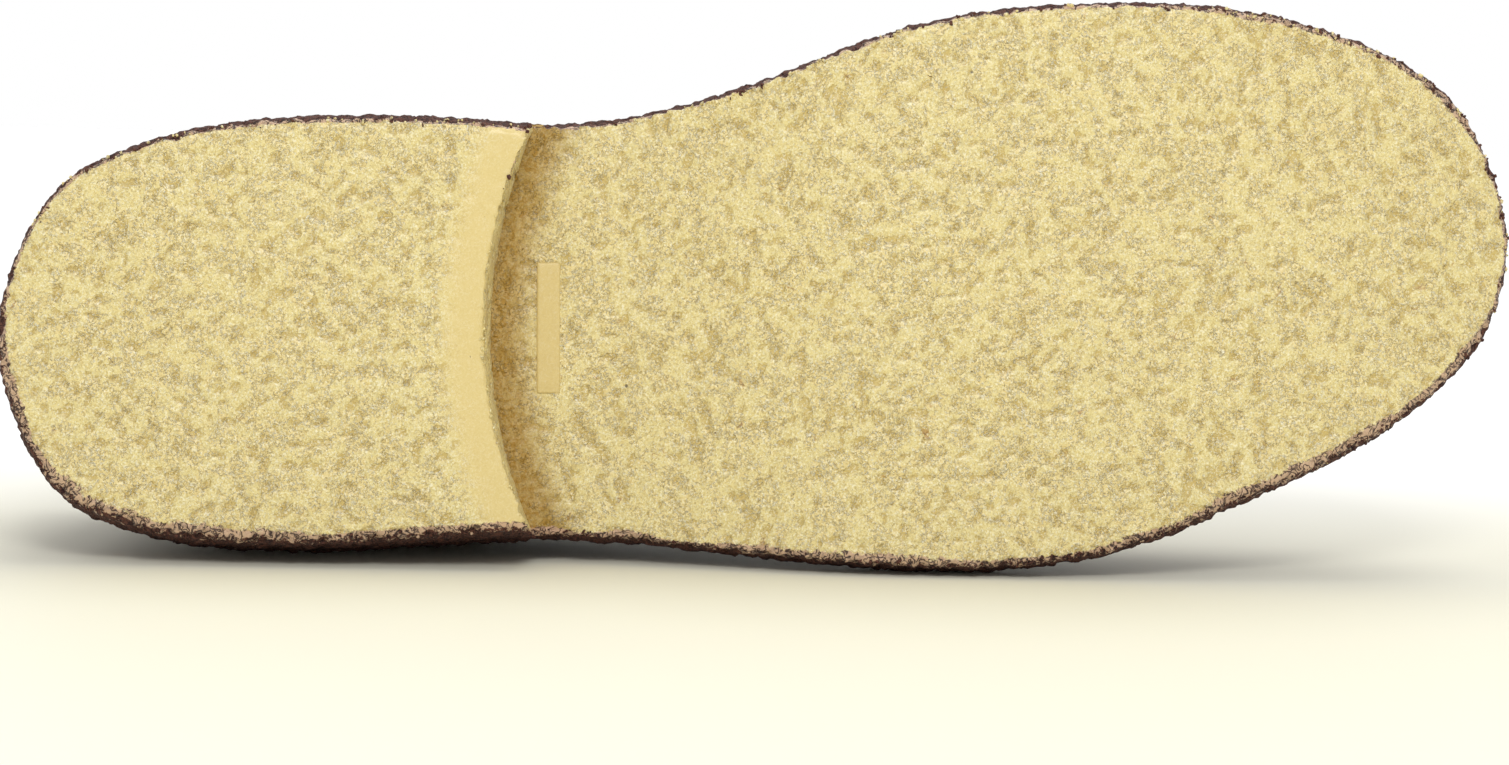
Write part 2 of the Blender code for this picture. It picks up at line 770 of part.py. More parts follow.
def tongue(lasts, material):
    """A plate under facings and throat, shaped like the inside of the upper above it."""
    inset = WALL + GAP + TONGUE_CLEARANCE
    facing = len(COLLAR_RIBS)
    positions = [facing + i / FACING_STEPS for i in range(FACING_STEPS)]
    positions += [SLOT_END, SLOT_END + 0.5, TAB_END, TAB_END + 0.3]
    sections = []
    for position in positions:
        ends = {}
        for side in (OUTER, INNER):
            rib = lasts[side].wall_rib(position)
            across = []
            wing = max(0.78, 0.93 - 0.6 * (position - facing))
            for step in range(5):
                t = wing + (1.0 - wing) * step / 4
                normal = lasts[side].outward_normal(position, t)
                across.append(bezier(rib, t) - normal * inset)
            ends[side] = across
        start, end = ends[OUTER][-1], ends[INNER][-1]
        reach = (end - start).length * 0.36
        leave = (start - ends[OUTER][-2]).normalized() * reach
        arrive = (end - ends[INNER][-2]).normalized() * reach
        bridge = [bezier((start, start + leave, end + arrive, end), t) for t in (0.25, 0.5, 0.75)]
        sections.append(ends[OUTER] + bridge + ends[INNER][::-1])
    x = THROAT_TOP_STATION * SOLE_LENGTH
    climb = Vector((-1.0, 0.0, -ridge_slope(x))).normalized()
    middle = sections[0][len(sections[0]) // 2]
    above = []
    for part in TONGUE_TOP:
        section = []
        for p in sections[0]:
            q = middle + (p - middle) * part.width
            q.z = middle.z + (q.z - middle.z) * part.depth
            section.append(q + climb * (TONGUE_RISE * part.rise))
        above.append(section)
    sections = above + sections
    width = len(sections[0])
    sheet = [p for section in sections for p in section]
    faces = []
    for i in range(len(sections) - 1):
        for j in range(width - 1):
            a = i * width + j
            faces.append((a, a + 1, a + width + 1, a + width))
    return plate("tongue", sheet, faces, TONGUE_THICKNESS, material)


def plate(name, sheet, faces, thickness, material):
    """A sheet thickened downwards into a closed plate."""
    shape = bmesh.new()
    corners = [shape.verts.new(p) for p in sheet]
    for face in faces:
        shape.faces.new([corners[i] for i in face])
    bmesh.ops.recalc_face_normals(shape, faces=shape.faces)
    shape.normal_update()
    normals = [v.normal.copy() for v in corners]
    shape.free()
    upwards = sum(n.z for n in normals)
    down = [-n if upwards > 0 else n for n in normals]
    below = [p + n * thickness for p, n in zip(sheet, down)]
    count = len(sheet)
    edges = {(a, b) for face in faces for a, b in zip(face, face[1:] + face[:1])}
    rims = [(b, a, a + count, b + count) for a, b in edges if (b, a) not in edges]
    turned = [tuple(i + count for i in reversed(face)) for face in faces]
    return make_object(name, list(sheet) + below, list(faces) + turned + sorted(rims), material)


EyeletPlace = namedtuple("EyeletPlace", "centre axis inward over_edge")


def eyelet_place(last, share):
    """Where an eyelet sits on the quarter's outer face, and where a lace over the facing's
    edge beside it would run."""
    position = len(COLLAR_RIBS) + share
    rib = last.wall_rib(position)
    low, high = 0.5, 1.0
    for _ in range(30):
        middle = (low + high) / 2
        if (bezier(rib, middle) - rib[3]).length > EYELET_SETBACK:
            low = middle
        else:
            high = middle
    axis = last.outward_normal(position, low)
    run = (THROAT_FRONT_STATION - THROAT_TOP_STATION) * SOLE_LENGTH
    beside = len(COLLAR_RIBS) + (bezier(rib, low).x - THROAT_TOP_STATION * SOLE_LENGTH) / run
    edge = last.wall_rib(beside)[3]
    edge_normal = last.outward_normal(beside, 1.0)
    inward = edge - bezier(rib, low)
    inward = (inward - axis * inward.dot(axis)).normalized()
    centre = bezier(rib, low) + axis * QUARTER_STEP
    over_edge = edge + edge_normal * (QUARTER_STEP + LACE_RADIUS + LACE_CLEARANCE)
    return EyeletPlace(centre, axis, inward, over_edge)


def turned_ring(name, profile, place, axis, material):
    """A closed profile of radius and height turned about an axis."""
    turn = axis.to_track_quat("Z", "Y").to_matrix()
    points = []
    for i in range(EYELET_FACETS):
        angle = 2 * math.pi * i / EYELET_FACETS
        for radius, height in profile:
            at = Vector((radius * math.cos(angle), radius * math.sin(angle), height))
            points.append(place + turn @ at)
    width = len(profile)
    faces = []
    for i in range(EYELET_FACETS):
        for j in range(width):
            a, b = i * width + j, i * width + (j + 1) % width
            c, d = ((i + 1) % EYELET_FACETS) * width + (j + 1) % width, (
                (i + 1) % EYELET_FACETS
            ) * width + j
            faces.append((a, b, c, d))
    return make_object(name, points, faces, material)


def eyelet(name, place, axis, material):
    """A flanged metal tube set through the quarter."""
    hole = EYELET_HOLE_RADIUS
    barrel = hole + EYELET_BARREL_WALL
    rim = barrel + EYELET_FLANGE
    top = EYELET_SEAT + EYELET_FLANGE_HEIGHT
    profile = (
        (hole, -(WALL + QUARTER_STEP)),
        (barrel, -(WALL + QUARTER_STEP)),
        (barrel, EYELET_SEAT),
        (rim, EYELET_SEAT),
        (rim - EYELET_FLANGE * 0.35, top),
        (barrel, top),
        (hole, top - EYELET_FLANGE_HEIGHT * 0.6),
    )
    return turned_ring(name, profile, place, axis, material)


def cutter_of_holes(places):
    """The drills for the eyelet holes, joined in one hidden object."""
    radius = EYELET_HOLE_RADIUS + EYELET_BARREL_WALL + GAP
    length = 4 * (WALL + QUARTER_STEP)
    shape = bmesh.new()
    for place in places:
        turn = place.axis.to_track_quat("Z", "Y").to_matrix().to_4x4()
        bmesh.ops.create_cone(
            shape, cap_ends=True, segments=EYELET_FACETS, radius1=radius, radius2=radius,
            depth=length, matrix=Matrix.Translation(place.centre) @ turn,
        )
    mesh = bpy.data.meshes.new("eyelet_drills")
    shape.to_mesh(mesh)
    shape.free()
    item = bpy.data.objects.new("eyelet_drills", mesh)
    bpy.context.scene.collection.objects.link(item)
    item.hide_render = True
    item.display_type = "WIRE"
    return item


def lace_end(place):
    """A lace's route out of an eyelet and over the edge of the facing."""
    rim = EYELET_HOLE_RADIUS + EYELET_BARREL_WALL + EYELET_FLANGE
    over_rim = EYELET_SEAT + EYELET_FLANGE_HEIGHT + LACE_RADIUS + LACE_CLEARANCE
    steps = (
        (0.0, -LACE_DIVE),
        (0.0, over_rim * 0.35),
        (rim * 0.22, over_rim * 0.86),
        (rim * 0.70, over_rim * 1.02),
        (rim * 1.35, over_rim * 0.94),
    )
    route = [place.centre + place.inward * x + place.axis * z for x, z in steps]
    return [*route, place.over_edge]


def lace_bar(name, first, second, material):
    """A round lace straight across the throat, which dives into an eyelet at each end."""
    start, end = first.over_edge, second.over_edge
    across = [start.lerp(end, share) for share in (0.2, 0.5, 0.8)]
    route = lace_end(first) + across + lace_end(second)[::-1]
    curve = bpy.data.curves.new(name, "CURVE")
    curve.dimensions = "3D"
    curve.bevel_depth = LACE_RADIUS
    curve.bevel_resolution = 2
    curve.use_fill_caps = True
    steps = smooth_route(route, 3)
    spline = curve.splines.new("POLY")
    spline.points.add(len(steps) - 1)
    for point, at in zip(spline.points, steps):
        point.co = (*at, 1.0)
    curve.materials.append(material)
    item = bpy.data.objects.new(name, curve)
    bpy.context.scene.collection.objects.link(item)
    return item


def smooth_route(route, steps):
    """Points on a smooth curve through a route."""
    keys = [0.0]
    for a, b in zip(route, route[1:]):
        keys.append(keys[-1] + (b - a).length)
    found = []
    for i in range(len(route) - 1):
        for step in range(steps):
            at = keys[i] + (keys[i + 1] - keys[i]) * step / steps
            found.append(smooth_value(keys, route, at))
    return [*found, route[-1]]


# Laying the shoe on its side

def solid_shapes(items):
    """The finished mesh of every piece, as points and triangles in the standing frame."""
    bpy.context.view_layer.update()
    graph = bpy.context.evaluated_depsgraph_get()
    found = []
    for item in items:
        evaluated = item.evaluated_get(graph)
        mesh = evaluated.to_mesh()
        mesh.calc_loop_triangles()
        points = [v.co.copy() for v in mesh.vertices]
        found.append((points, [tuple(t.vertices) for t in mesh.loop_triangles]))
        evaluated.to_mesh_clear()
    return found


def weight_centre(shapes):
    """Where the weight of the whole shoe acts, with every piece taken as equally dense."""
    volume = 0.0
    moment = Vector((0.0, 0.0, 0.0))
    for points, triangles in shapes:
        for i, j, k in triangles:
            a, b, c = points[i], points[j], points[k]
            part = a.dot(b.cross(c)) / 6
            volume += part
            moment += (a + b + c) * (part / 4)
    return moment / volume


def side_plane(points, weight):
    """The direction down when the shoe lies on its outer side: out of the face of its
    hull, on that side, that the weight acts through."""
    hull = bmesh.new()
    for p in points:
        hull.verts.new(p)
    bmesh.ops.convex_hull(hull, input=hull.verts)
    steadiest, down = None, None
    for face in hull.faces:
        corners = [v.co for v in face.verts]
        middle = face.calc_center_median()
        normal = (corners[1] - corners[0]).cross(corners[2] - corners[0]).normalized()
        if normal.dot(middle - weight) < 0:
            normal.negate()
        if normal.y < SIDE_FACING:
            continue
        under = weight + normal * normal.dot(corners[0] - weight)
        margins = []
        for a, b in zip(corners, corners[1:] + corners[:1]):
            square = (b - a).cross(normal).normalized()
            margins.append((under - a).dot(square) * math.copysign(1, (middle - a).dot(square)))
        if steadiest is None or min(margins) > steadiest:
            steadiest, down = min(margins), normal.copy()
    hull.free()
    return down


def lay_on_side(items):
    """Parents every piece to an empty that lays the shoe on its outer side, centred over
    the origin."""
    shapes = solid_shapes(items)
    points = [p for corners, _ in shapes for p in corners]
    down = side_plane(points, weight_centre(shapes))
    forward = (Vector((1.0, 0.0, 0.0)) - down * down.x).normalized()
    turn = Matrix((forward, forward.cross(down), -down))
    laid = [turn @ p for p in points]
    low = Vector(min(p[i] for p in laid) for i in range(3))
    high = Vector(max(p[i] for p in laid) for i in range(3))
    shift = Vector((-(low.x + high.x) / 2, -(low.y + high.y) / 2, -low.z))
    shoe = bpy.data.objects.new("shoe_on_its_side", None)
    bpy.context.scene.collection.objects.link(shoe)
    shoe.matrix_world = Matrix.Translation(shift) @ turn.to_4x4()
    for item in items:
        item.parent = shoe
    return shoe


def main():
    clear_scene()
    crepe = make_material("crepe_rubber", (0.72, 0.58, 0.30), 0.55)
    brown_edge = make_material("midsole_leather", (0.10, 0.050, 0.035), 0.7)
    suede = make_material("suede", (0.085, 0.048, 0.034), 0.9)
    lining = make_material("insole_leather", (0.48, 0.30, 0.16), 0.6)
    metal = make_material("eyelet_metal", (0.20, 0.13, 0.08), 0.35, 1.0)
    cord = make_material("lace_cotton", (0.07, 0.04, 0.03), 0.85)

    outline = sole_outline()
    lasts = {side: Last(outline, side) for side in (OUTER, INNER)}
    midsole_outline = inset_outline(outline, MIDSOLE_SETBACK)
    insole_outline = inset_outline(outline, FEATHER_INSET + WALL + INSOLE_CLEARANCE)

    items = [
        outsole(outline, crepe),
        heel_lift(outline, crepe),
        slab("midsole", midsole_outline, midsole_base, MIDSOLE_THICKNESS, brown_edge),
        slab("insole", insole_outline, feather_height, INSOLE_THICKNESS, lining),
        tongue(lasts, suede),
    ]
    places = {
        (side, i): eyelet_place(lasts[side], share)
        for side in (OUTER, INNER)
        for i, share in enumerate(EYELET_SHARES)
    }
    shell = upper(lasts, suede)
    holes = shell.modifiers.new("eyelet_holes", "BOOLEAN")
    holes.operation = "DIFFERENCE"
    holes.object = cutter_of_holes(places.values())
    items.append(shell)
    for (side, i), place in places.items():
        side_name = "outer" if side == OUTER else "inner"
        items.append(eyelet(f"eyelet_{side_name}_{i + 1}", place.centre, place.axis, metal))
    for i in range(len(EYELET_SHARES)):
        bar = lace_bar(f"lace_bar_{i + 1}", places[OUTER, i], places[INNER, i], cord)
        items.append(bar)
    shoe = lay_on_side(items)
    holes.object.parent = shoe


main()
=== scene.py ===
# A crepe-soled lace-up shoe that lies on its outer side, with its sole towards the camera.
# Metres throughout. The standing frame has x from heel to toe, y to the outer side, z up from the tread.
import json
import math
import random
import bmesh
import bpy
from mathutils import Matrix, Vector, bvhtree, noise


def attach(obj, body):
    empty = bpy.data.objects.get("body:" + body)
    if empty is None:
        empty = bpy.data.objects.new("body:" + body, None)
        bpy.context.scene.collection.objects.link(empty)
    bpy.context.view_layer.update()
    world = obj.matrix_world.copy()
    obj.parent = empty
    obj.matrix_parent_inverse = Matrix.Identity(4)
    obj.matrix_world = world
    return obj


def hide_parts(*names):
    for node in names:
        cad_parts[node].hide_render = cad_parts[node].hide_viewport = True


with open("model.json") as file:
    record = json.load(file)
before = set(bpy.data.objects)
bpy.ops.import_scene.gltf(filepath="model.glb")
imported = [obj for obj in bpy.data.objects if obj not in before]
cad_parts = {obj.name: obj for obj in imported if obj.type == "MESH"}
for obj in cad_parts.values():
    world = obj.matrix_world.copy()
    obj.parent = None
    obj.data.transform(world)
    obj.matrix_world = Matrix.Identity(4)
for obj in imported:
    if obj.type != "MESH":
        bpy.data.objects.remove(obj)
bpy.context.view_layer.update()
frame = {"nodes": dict(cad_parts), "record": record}        # frame["nodes"], ["record"]

standing = {
    "heelTread": Vector((0.050, 0.001, 0.0)),     # where the record's two mounts are on the standing shoe
    "ballTread": Vector((0.195, -0.011, 0.0)),
}


def standingToRow():
    mounts = {m["name"]: m for m in frame["record"]["mounts"]}
    heel, ball = (Vector(mounts[n]["pos_m"]) for n in ("heel_tread", "ball_tread"))
    up = -Vector(mounts["heel_tread"]["axis"]).normalized()
    along = (ball - heel).normalized()
    here = Matrix((along, up.cross(along), up)).transposed()
    along = (standing["ballTread"] - standing["heelTread"]).normalized()
    up = Vector((0, 0, 1))
    there = Matrix((along, up.cross(along), up)).transposed()
    turn = here @ there.transposed()
    return Matrix.Translation(heel - turn @ standing["heelTread"]) @ turn.to_4x4()


toRow = standingToRow()
toStand = toRow.inverted()


def smoothStep(low, high, value):
    t = min(1.0, max(0.0, (value - low) / (high - low)))
    return t * t * (3 - 2 * t)


def blockFrom(nodeName):        # a CAD node's shape in the standing frame, its loose triangles joined
    bm = bmesh.new()
    bm.from_mesh(frame["nodes"][nodeName].data)
    bmesh.ops.remove_doubles(bm, verts=bm.verts, dist=1e-6)
    bm.transform(toStand)
    bm.normal_update()
    return bm


def treeOf(bm, wanted=lambda face: True):
    bm.verts.index_update()
    points = [v.co.copy() for v in bm.verts]
    return bvhtree.BVHTree.FromPolygons(points, [[v.index for v in f.verts] for f in bm.faces if wanted(f)])


def distanceTo(tree, place):
    return tree.find_nearest(place)[3]


def finishPiece(name, bm, materials, sharpAngle=math.radians(40)):
    bm.transform(toRow)
    mesh = bpy.data.meshes.new(name)
    bm.to_mesh(mesh)
    bm.free()
    mesh.polygons.foreach_set("use_smooth", [True] * len(mesh.polygons))
    if sharpAngle:
        mesh.set_sharp_from_angle(angle=sharpAngle)
    for material in materials:
        mesh.materials.append(material)
    piece = bpy.data.objects.new(name, mesh)
    bpy.context.scene.collection.objects.link(piece)
    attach(piece, "root")
    return piece


def shaped(bm, kind, **settings):        # the mesh after one modifier
    mesh = bpy.data.meshes.new("unfinished")
    bm.to_mesh(mesh)
    block = bpy.data.objects.new("unfinished", mesh)
    bpy.context.scene.collection.objects.link(block)
    modifier = block.modifiers.new(kind, kind)
    for key, value in settings.items():
        setattr(modifier, key, value)
    done = bpy.data.meshes.new_from_object(block.evaluated_get(bpy.context.evaluated_depsgraph_get()))
    bpy.data.objects.remove(block)
    bm.clear()
    bm.from_mesh(done)
    bpy.data.meshes.remove(done)
    bm.normal_update()


# material helpers: a value is a number, a colour or another node's output
def feed(tree, socket, value):
    if isinstance(value, bpy.types.NodeSocket):
        tree.links.new(value, socket)
    else:
        socket.default_value = value


def calc(tree, operation, first, second=0.0, clamp=False):
    node = tree.nodes.new("ShaderNodeMath")
    node.operation, node.use_clamp = operation, clamp
    feed(tree, node.inputs[0], first)
    feed(tree, node.inputs[1], second)
    return node.outputs[0]


def ramp(tree, value, low, high, toLow=0.0, toHigh=1.0):
    node = tree.nodes.new("ShaderNodeMapRange")
    node.interpolation_type = "SMOOTHSTEP"
    for socket, given in zip(node.inputs, (value, low, high, toLow, toHigh)):
        feed(tree, socket, given)
    return node.outputs[0]


def mixed(tree, share, first, second, blend="MIX"):
    node = tree.nodes.new("ShaderNodeMix")
    node.data_type, node.blend_type = "RGBA", blend
    feed(tree, node.inputs[0], share)
    feed(tree, node.inputs[6], first)
    feed(tree, node.inputs[7], second)
    return node.outputs[2]


def noiseOf(tree, place, scale, detail=2.0, roughness=0.5, distortion=0.0, kind="FBM"):
    node = tree.nodes.new("ShaderNodeTexNoise")
    node.noise_type = kind
    feed(tree, node.inputs["Vector"], place)
    for socket, given in (("Scale", scale), ("Detail", detail), ("Roughness", roughness), ("Distortion", distortion)):
        feed(tree, node.inputs[socket], given)
    return node.outputs[0]


def cellsOf(tree, place, scale, feature="F1", output="Distance", randomness=1.0):
    node = tree.nodes.new("ShaderNodeTexVoronoi")
    node.feature = feature
    feed(tree, node.inputs["Vector"], place)
    feed(tree, node.inputs["Scale"], scale)
    feed(tree, node.inputs["Randomness"], randomness)
    return node.outputs[output]


def bumpOf(tree, height, strength, distance, normal=None):
    node = tree.nodes.new("ShaderNodeBump")
    feed(tree, node.inputs["Height"], height)
    feed(tree, node.inputs["Strength"], strength)
    node.inputs["Distance"].default_value = distance
    if normal is not None:
        tree.links.new(normal, node.inputs["Normal"])
    return node.outputs[0]


def maskOf(tree, name):
    node = tree.nodes.new("ShaderNodeAttribute")
    node.attribute_name = name
    return node.outputs["Fac"]


def placeOf(tree, output="Object"):
    return tree.nodes.new("ShaderNodeTexCoord").outputs[output]


def newGroup(name, inputs, outputs):
    tree = bpy.data.node_groups.new(name, "ShaderNodeTree")
    for socketName, kind, value in inputs:
        socket = tree.interface.new_socket(name=socketName, in_out="INPUT", socket_type="NodeSocket" + kind)
        if value is not None:
            socket.default_value = value
    for socketName in outputs:
        tree.interface.new_socket(name=socketName, in_out="OUTPUT", socket_type="NodeSocketFloat")
    return tree, tree.nodes.new("NodeGroupInput").outputs, tree.nodes.new("NodeGroupOutput").inputs


def useGroup(tree, group, **values):
    node = tree.nodes.new("ShaderNodeGroup")
    node.node_tree = group
    for socketName, value in values.items():
        feed(tree, node.inputs[socketName], value)
    return node.outputs


def newMaterial(name, roughness, **fixed):
    material = bpy.data.materials.new(name)
    material.use_nodes = True
    tree = material.node_tree
    shader = tree.nodes["Principled BSDF"]
    shader.inputs["Roughness"].default_value = roughness
    for socketName, value in fixed.items():
        shader.inputs[socketName.replace("_", " ")].default_value = value
    return material, tree, shader.inputs


# shared effects
def makeMottle():        # soft patches of two sizes, 0 to 1
    tree, given, out = newGroup("mottle", (("Vector", "Vector", None), ("Scale", "Float", 80.0)), ("Patch", "Fleck"))
    broad = noiseOf(tree, given["Vector"], given["Scale"], 3.0, 0.55, 0.4)
    small = noiseOf(tree, given["Vector"], calc(tree, "MULTIPLY", given["Scale"], 6.0), 3.0, 0.6, 0.3)
    feed(tree, out["Patch"], ramp(tree, broad, 0.36, 0.64))
    feed(tree, out["Fleck"], ramp(tree, small, 0.40, 0.62))
    return tree


def makeSpecks():        # a few small dark dots
    tree, given, out = newGroup(
        "specks", (("Vector", "Vector", None), ("Scale", "Float", 90.0), ("Size", "Float", 0.05), ("Share", "Float", 0.2)), ("Mask",))
    near = cellsOf(tree, given["Vector"], given["Scale"])
    chosen = cellsOf(tree, given["Vector"], given["Scale"], output="Color")
    dot = ramp(tree, near, given["Size"], calc(tree, "MULTIPLY", given["Size"], 0.4))
    feed(tree, out["Mask"], calc(tree, "MULTIPLY", dot, calc(tree, "LESS_THAN", chosen, given["Share"])))
    return tree


def makeCurls():        # thin curly lines, 1 on the line
    tree, given, out = newGroup("curls", (("Vector", "Vector", None), ("Scale", "Float", 900.0), ("Width", "Float", 0.03), ("Level", "Float", 0.5)), ("Mask",))
    flow = noiseOf(tree, given["Vector"], given["Scale"], 1.5, 0.5, 1.1)
    line = calc(tree, "ABSOLUTE", calc(tree, "SUBTRACT", flow, given["Level"]))
    feed(tree, out["Mask"], ramp(tree, line, given["Width"], 0.0))
    return tree


def makeLeatherGrain():        # fine pebbles with creases between them
    tree, given, out = newGroup("leatherGrain", (("Vector", "Vector", None), ("Scale", "Float", 900.0)), ("Height",))
    pebble = ramp(tree, cellsOf(tree, given["Vector"], given["Scale"], "DISTANCE_TO_EDGE"), 0.0, 0.22)
    grain = noiseOf(tree, given["Vector"], calc(tree, "MULTIPLY", given["Scale"], 2.6), 3.0, 0.6)
    feed(tree, out["Height"], calc(tree, "ADD", pebble, calc(tree, "MULTIPLY", grain, 0.35)))
    return tree


mottle, specks, curls, leatherGrain = makeMottle(), makeSpecks(), makeCurls(), makeLeatherGrain()

crepeMasks = ("dye", "stain", "band", "pocketShade", "shadedHollow")
# of these colours the hollow, ochre and bright ones are painted shade and painted glints; grain is the crepe's darker
# tone and also paints the shade beside the glints
crepeFinish = {
    "pale": (0.81, 0.69, 0.30, 1), "warm": (0.79, 0.61, 0.265, 1), "shadedHollow": (0.56, 0.40, 0.10, 1),
    "paintedGlint": (1.0, 0.96, 0.76, 1), "grain": (0.48, 0.32, 0.085, 1), "streak": (0.44, 0.22, 0.06, 1),
    "ochreShade": (0.36, 0.19, 0.010, 1), "speck": (0.05, 0.03, 0.02, 1),
    "stained": (0.57, 0.36, 0.25, 1), "dyed": (0.125, 0.045, 0.028, 1), "dyeDeep": (0.024, 0.004, 0.003, 1),
}


def makeCrepe():
    material, tree, shader = newMaterial("crepe", 0.5, Coat_Roughness=0.22)
    place, colours = placeOf(tree), crepeFinish
    dye, stain, band, pocketShade, shadedHollow = (maskOf(tree, name) for name in crepeMasks)

    def times(*values):
        result = values[0]
        for value in values[1:]:
            result = calc(tree, "MULTIPLY", result, value)
        return result

    def laid(share, name):        # lays a colour over what is there
        return mixed(tree, share, colour, colours[name])

    crisp = calc(tree, "SUBTRACT", 1.0, times(band, 0.8))
    curled = ramp(tree, noiseOf(tree, place, 280.0, 2.0, 0.5, 0.6), 0.42, 0.56, 0.3, 1.0)        # where it is finely curled, not smooth
    curled = times(curled, crisp)
    # painted highlights: short curly glint lines laid in a near-white colour
    light = useGroup(tree, curls, Vector=place, Scale=1300.0, Width=0.05, Level=0.5)["Mask"]
    light = times(light, ramp(tree, noiseOf(tree, place, 1700.0, 1.0), 0.42, 0.56))        # short pieces of line
    # painted shade: dark curly lines beside the glints
    shade = useGroup(tree, curls, Vector=place, Scale=1300.0, Width=0.05, Level=0.41)["Mask"]
    fine = noiseOf(tree, place, 2600.0, 1.0, 0.6, 0.8)
    rugged = noiseOf(tree, place, 900.0, 2.0, 0.6, 0.8)
    # pits: the hollows, broken up by noise, are darkened in colour as painted shade
    pit = ramp(tree, calc(tree, "ADD", shadedHollow, times(calc(tree, "SUBTRACT", rugged, 0.5), 1.2)), 0.30, 0.66)
    colour = mixed(tree, times(curled, 0.55), colours["pale"], colours["warm"])
    colour = laid(times(band, 0.6), "warm")
    colour = laid(times(band, 0.15), "shadedHollow")
    colour = laid(times(pit, crisp, 0.64), "shadedHollow")
    colour = laid(times(light, curled, 0.85), "paintedGlint")
    # painted shade beside the glints, in the grain colour
    colour = laid(times(shade, curled, 0.35), "grain")
    # painted glints: fine bright specks
    colour = laid(times(ramp(tree, fine, 0.54, 0.66), crisp, 0.55), "paintedGlint")
    colour = laid(times(ramp(tree, fine, 0.46, 0.34), crisp, 0.45), "grain")
    streak = useGroup(tree, curls, Vector=place, Scale=210.0, Width=0.012, Level=0.5)["Mask"]
    colour = laid(times(streak, ramp(tree, noiseOf(tree, place, 300.0, 2.0), 0.60, 0.68), crisp, 0.7), "streak")
    # painted shade: ochre laid over the crepe in front of the heel's breast
    colour = laid(times(pocketShade, ramp(tree, rugged, 0.30, 0.62, 1.0, 0.72)), "ochreShade")
    dots = useGroup(tree, specks, Vector=place, Scale=75.0, Size=0.035, Share=0.35)["Mask"]
    colour = laid(times(dots, 0.8), "speck")
    border = calc(tree, "SUBTRACT", noiseOf(tree, place, 520.0, 4.0, 0.7, 0.8), 0.5)
    deep = useGroup(tree, curls, Vector=place, Scale=640.0, Width=0.075, Level=0.5)["Mask"]
    reach = ramp(tree, calc(tree, "ADD", stain, times(border, 1.3)), 0.46, 0.66)
    colour = laid(times(reach, 0.85), "stained")
    dyed = ramp(tree, calc(tree, "ADD", dye, times(border, 2.2)), 0.46, 0.58)
    colour = laid(dyed, "dyed")
    colour = laid(times(deep, reach), "dyeDeep")
    colour = laid(times(ramp(tree, fine, 0.50, 0.36), dyed, 0.8), "dyeDeep")
    feed(tree, shader["Base Color"], colour)
    feed(tree, shader["Coat Weight"], ramp(tree, calc(tree, "MAXIMUM", dyed, pocketShade), 0.0, 1.0, 0.22, 0.0))
    height = calc(tree, "ADD", times(fine, 0.35), times(calc(tree, "SUBTRACT", light, times(shade, 0.4)), curled, 0.6))
    height = calc(tree, "SUBTRACT", height, times(pit, 0.32))
    height = calc(tree, "SUBTRACT", height, times(deep, reach, 0.8))
    feed(tree, shader["Normal"], bumpOf(tree, height, times(crisp, 0.9), 0.00030))
    feed(tree, shader["Roughness"], calc(tree, "MAXIMUM", ramp(tree, fine, 0.3, 0.7, 0.34, 0.52), times(dyed, 0.85)))
    return material


def makeSmoothLeather(name, dark, light, scale, roughness, depth):
    material, tree, shader = newMaterial(name, roughness)
    place = placeOf(tree)
    patches = useGroup(tree, mottle, Vector=place, Scale=45.0)
    height = useGroup(tree, leatherGrain, Vector=place, Scale=scale)["Height"]
    colour = mixed(tree, patches["Patch"], dark, light)
    colour = mixed(tree, calc(tree, "MULTIPLY", patches["Fleck"], 0.35), colour, dark)
    feed(tree, shader["Base Color"], colour)
    feed(tree, shader["Roughness"], ramp(tree, height, 0.2, 1.2, roughness + 0.12, roughness - 0.06))
    feed(tree, shader["Normal"], bumpOf(tree, height, 0.6, depth))
    return material


def makeSuede():
    material, tree, shader = newMaterial("suede", 0.95, Specular_IOR_Level=0.1, Sheen_Weight=0.05, Sheen_Roughness=0.5)
    place = placeOf(tree)
    patches = useGroup(tree, mottle, Vector=place, Scale=38.0)
    nap = noiseOf(tree, place, 2600.0, 4.0, 0.7, 0.6)
    colour = mixed(tree, patches["Patch"], (0.040, 0.019, 0.0125, 1), (0.064, 0.033, 0.022, 1))
    colour = mixed(tree, ramp(tree, nap, 0.38, 0.75), colour, (0.110, 0.062, 0.042, 1))
    feed(tree, shader["Base Color"], colour)
    feed(tree, shader["Normal"], bumpOf(tree, nap, 0.5, 0.0004))
    return material


def makeBrass():
    material, tree, shader = newMaterial("agedBrass", 0.4, Metallic=1.0)
    place = placeOf(tree)
    patches = useGroup(tree, mottle, Vector=place, Scale=420.0)
    feed(tree, shader["Base Color"], mixed(tree, patches["Patch"], (0.15, 0.09, 0.05, 1), (0.30, 0.20, 0.11, 1)))
    feed(tree, shader["Roughness"], ramp(tree, patches["Fleck"], 0.0, 1.0, 0.30, 0.52))
    feed(tree, shader["Normal"], bumpOf(tree, patches["Fleck"], 0.2, 0.0001))
    return material


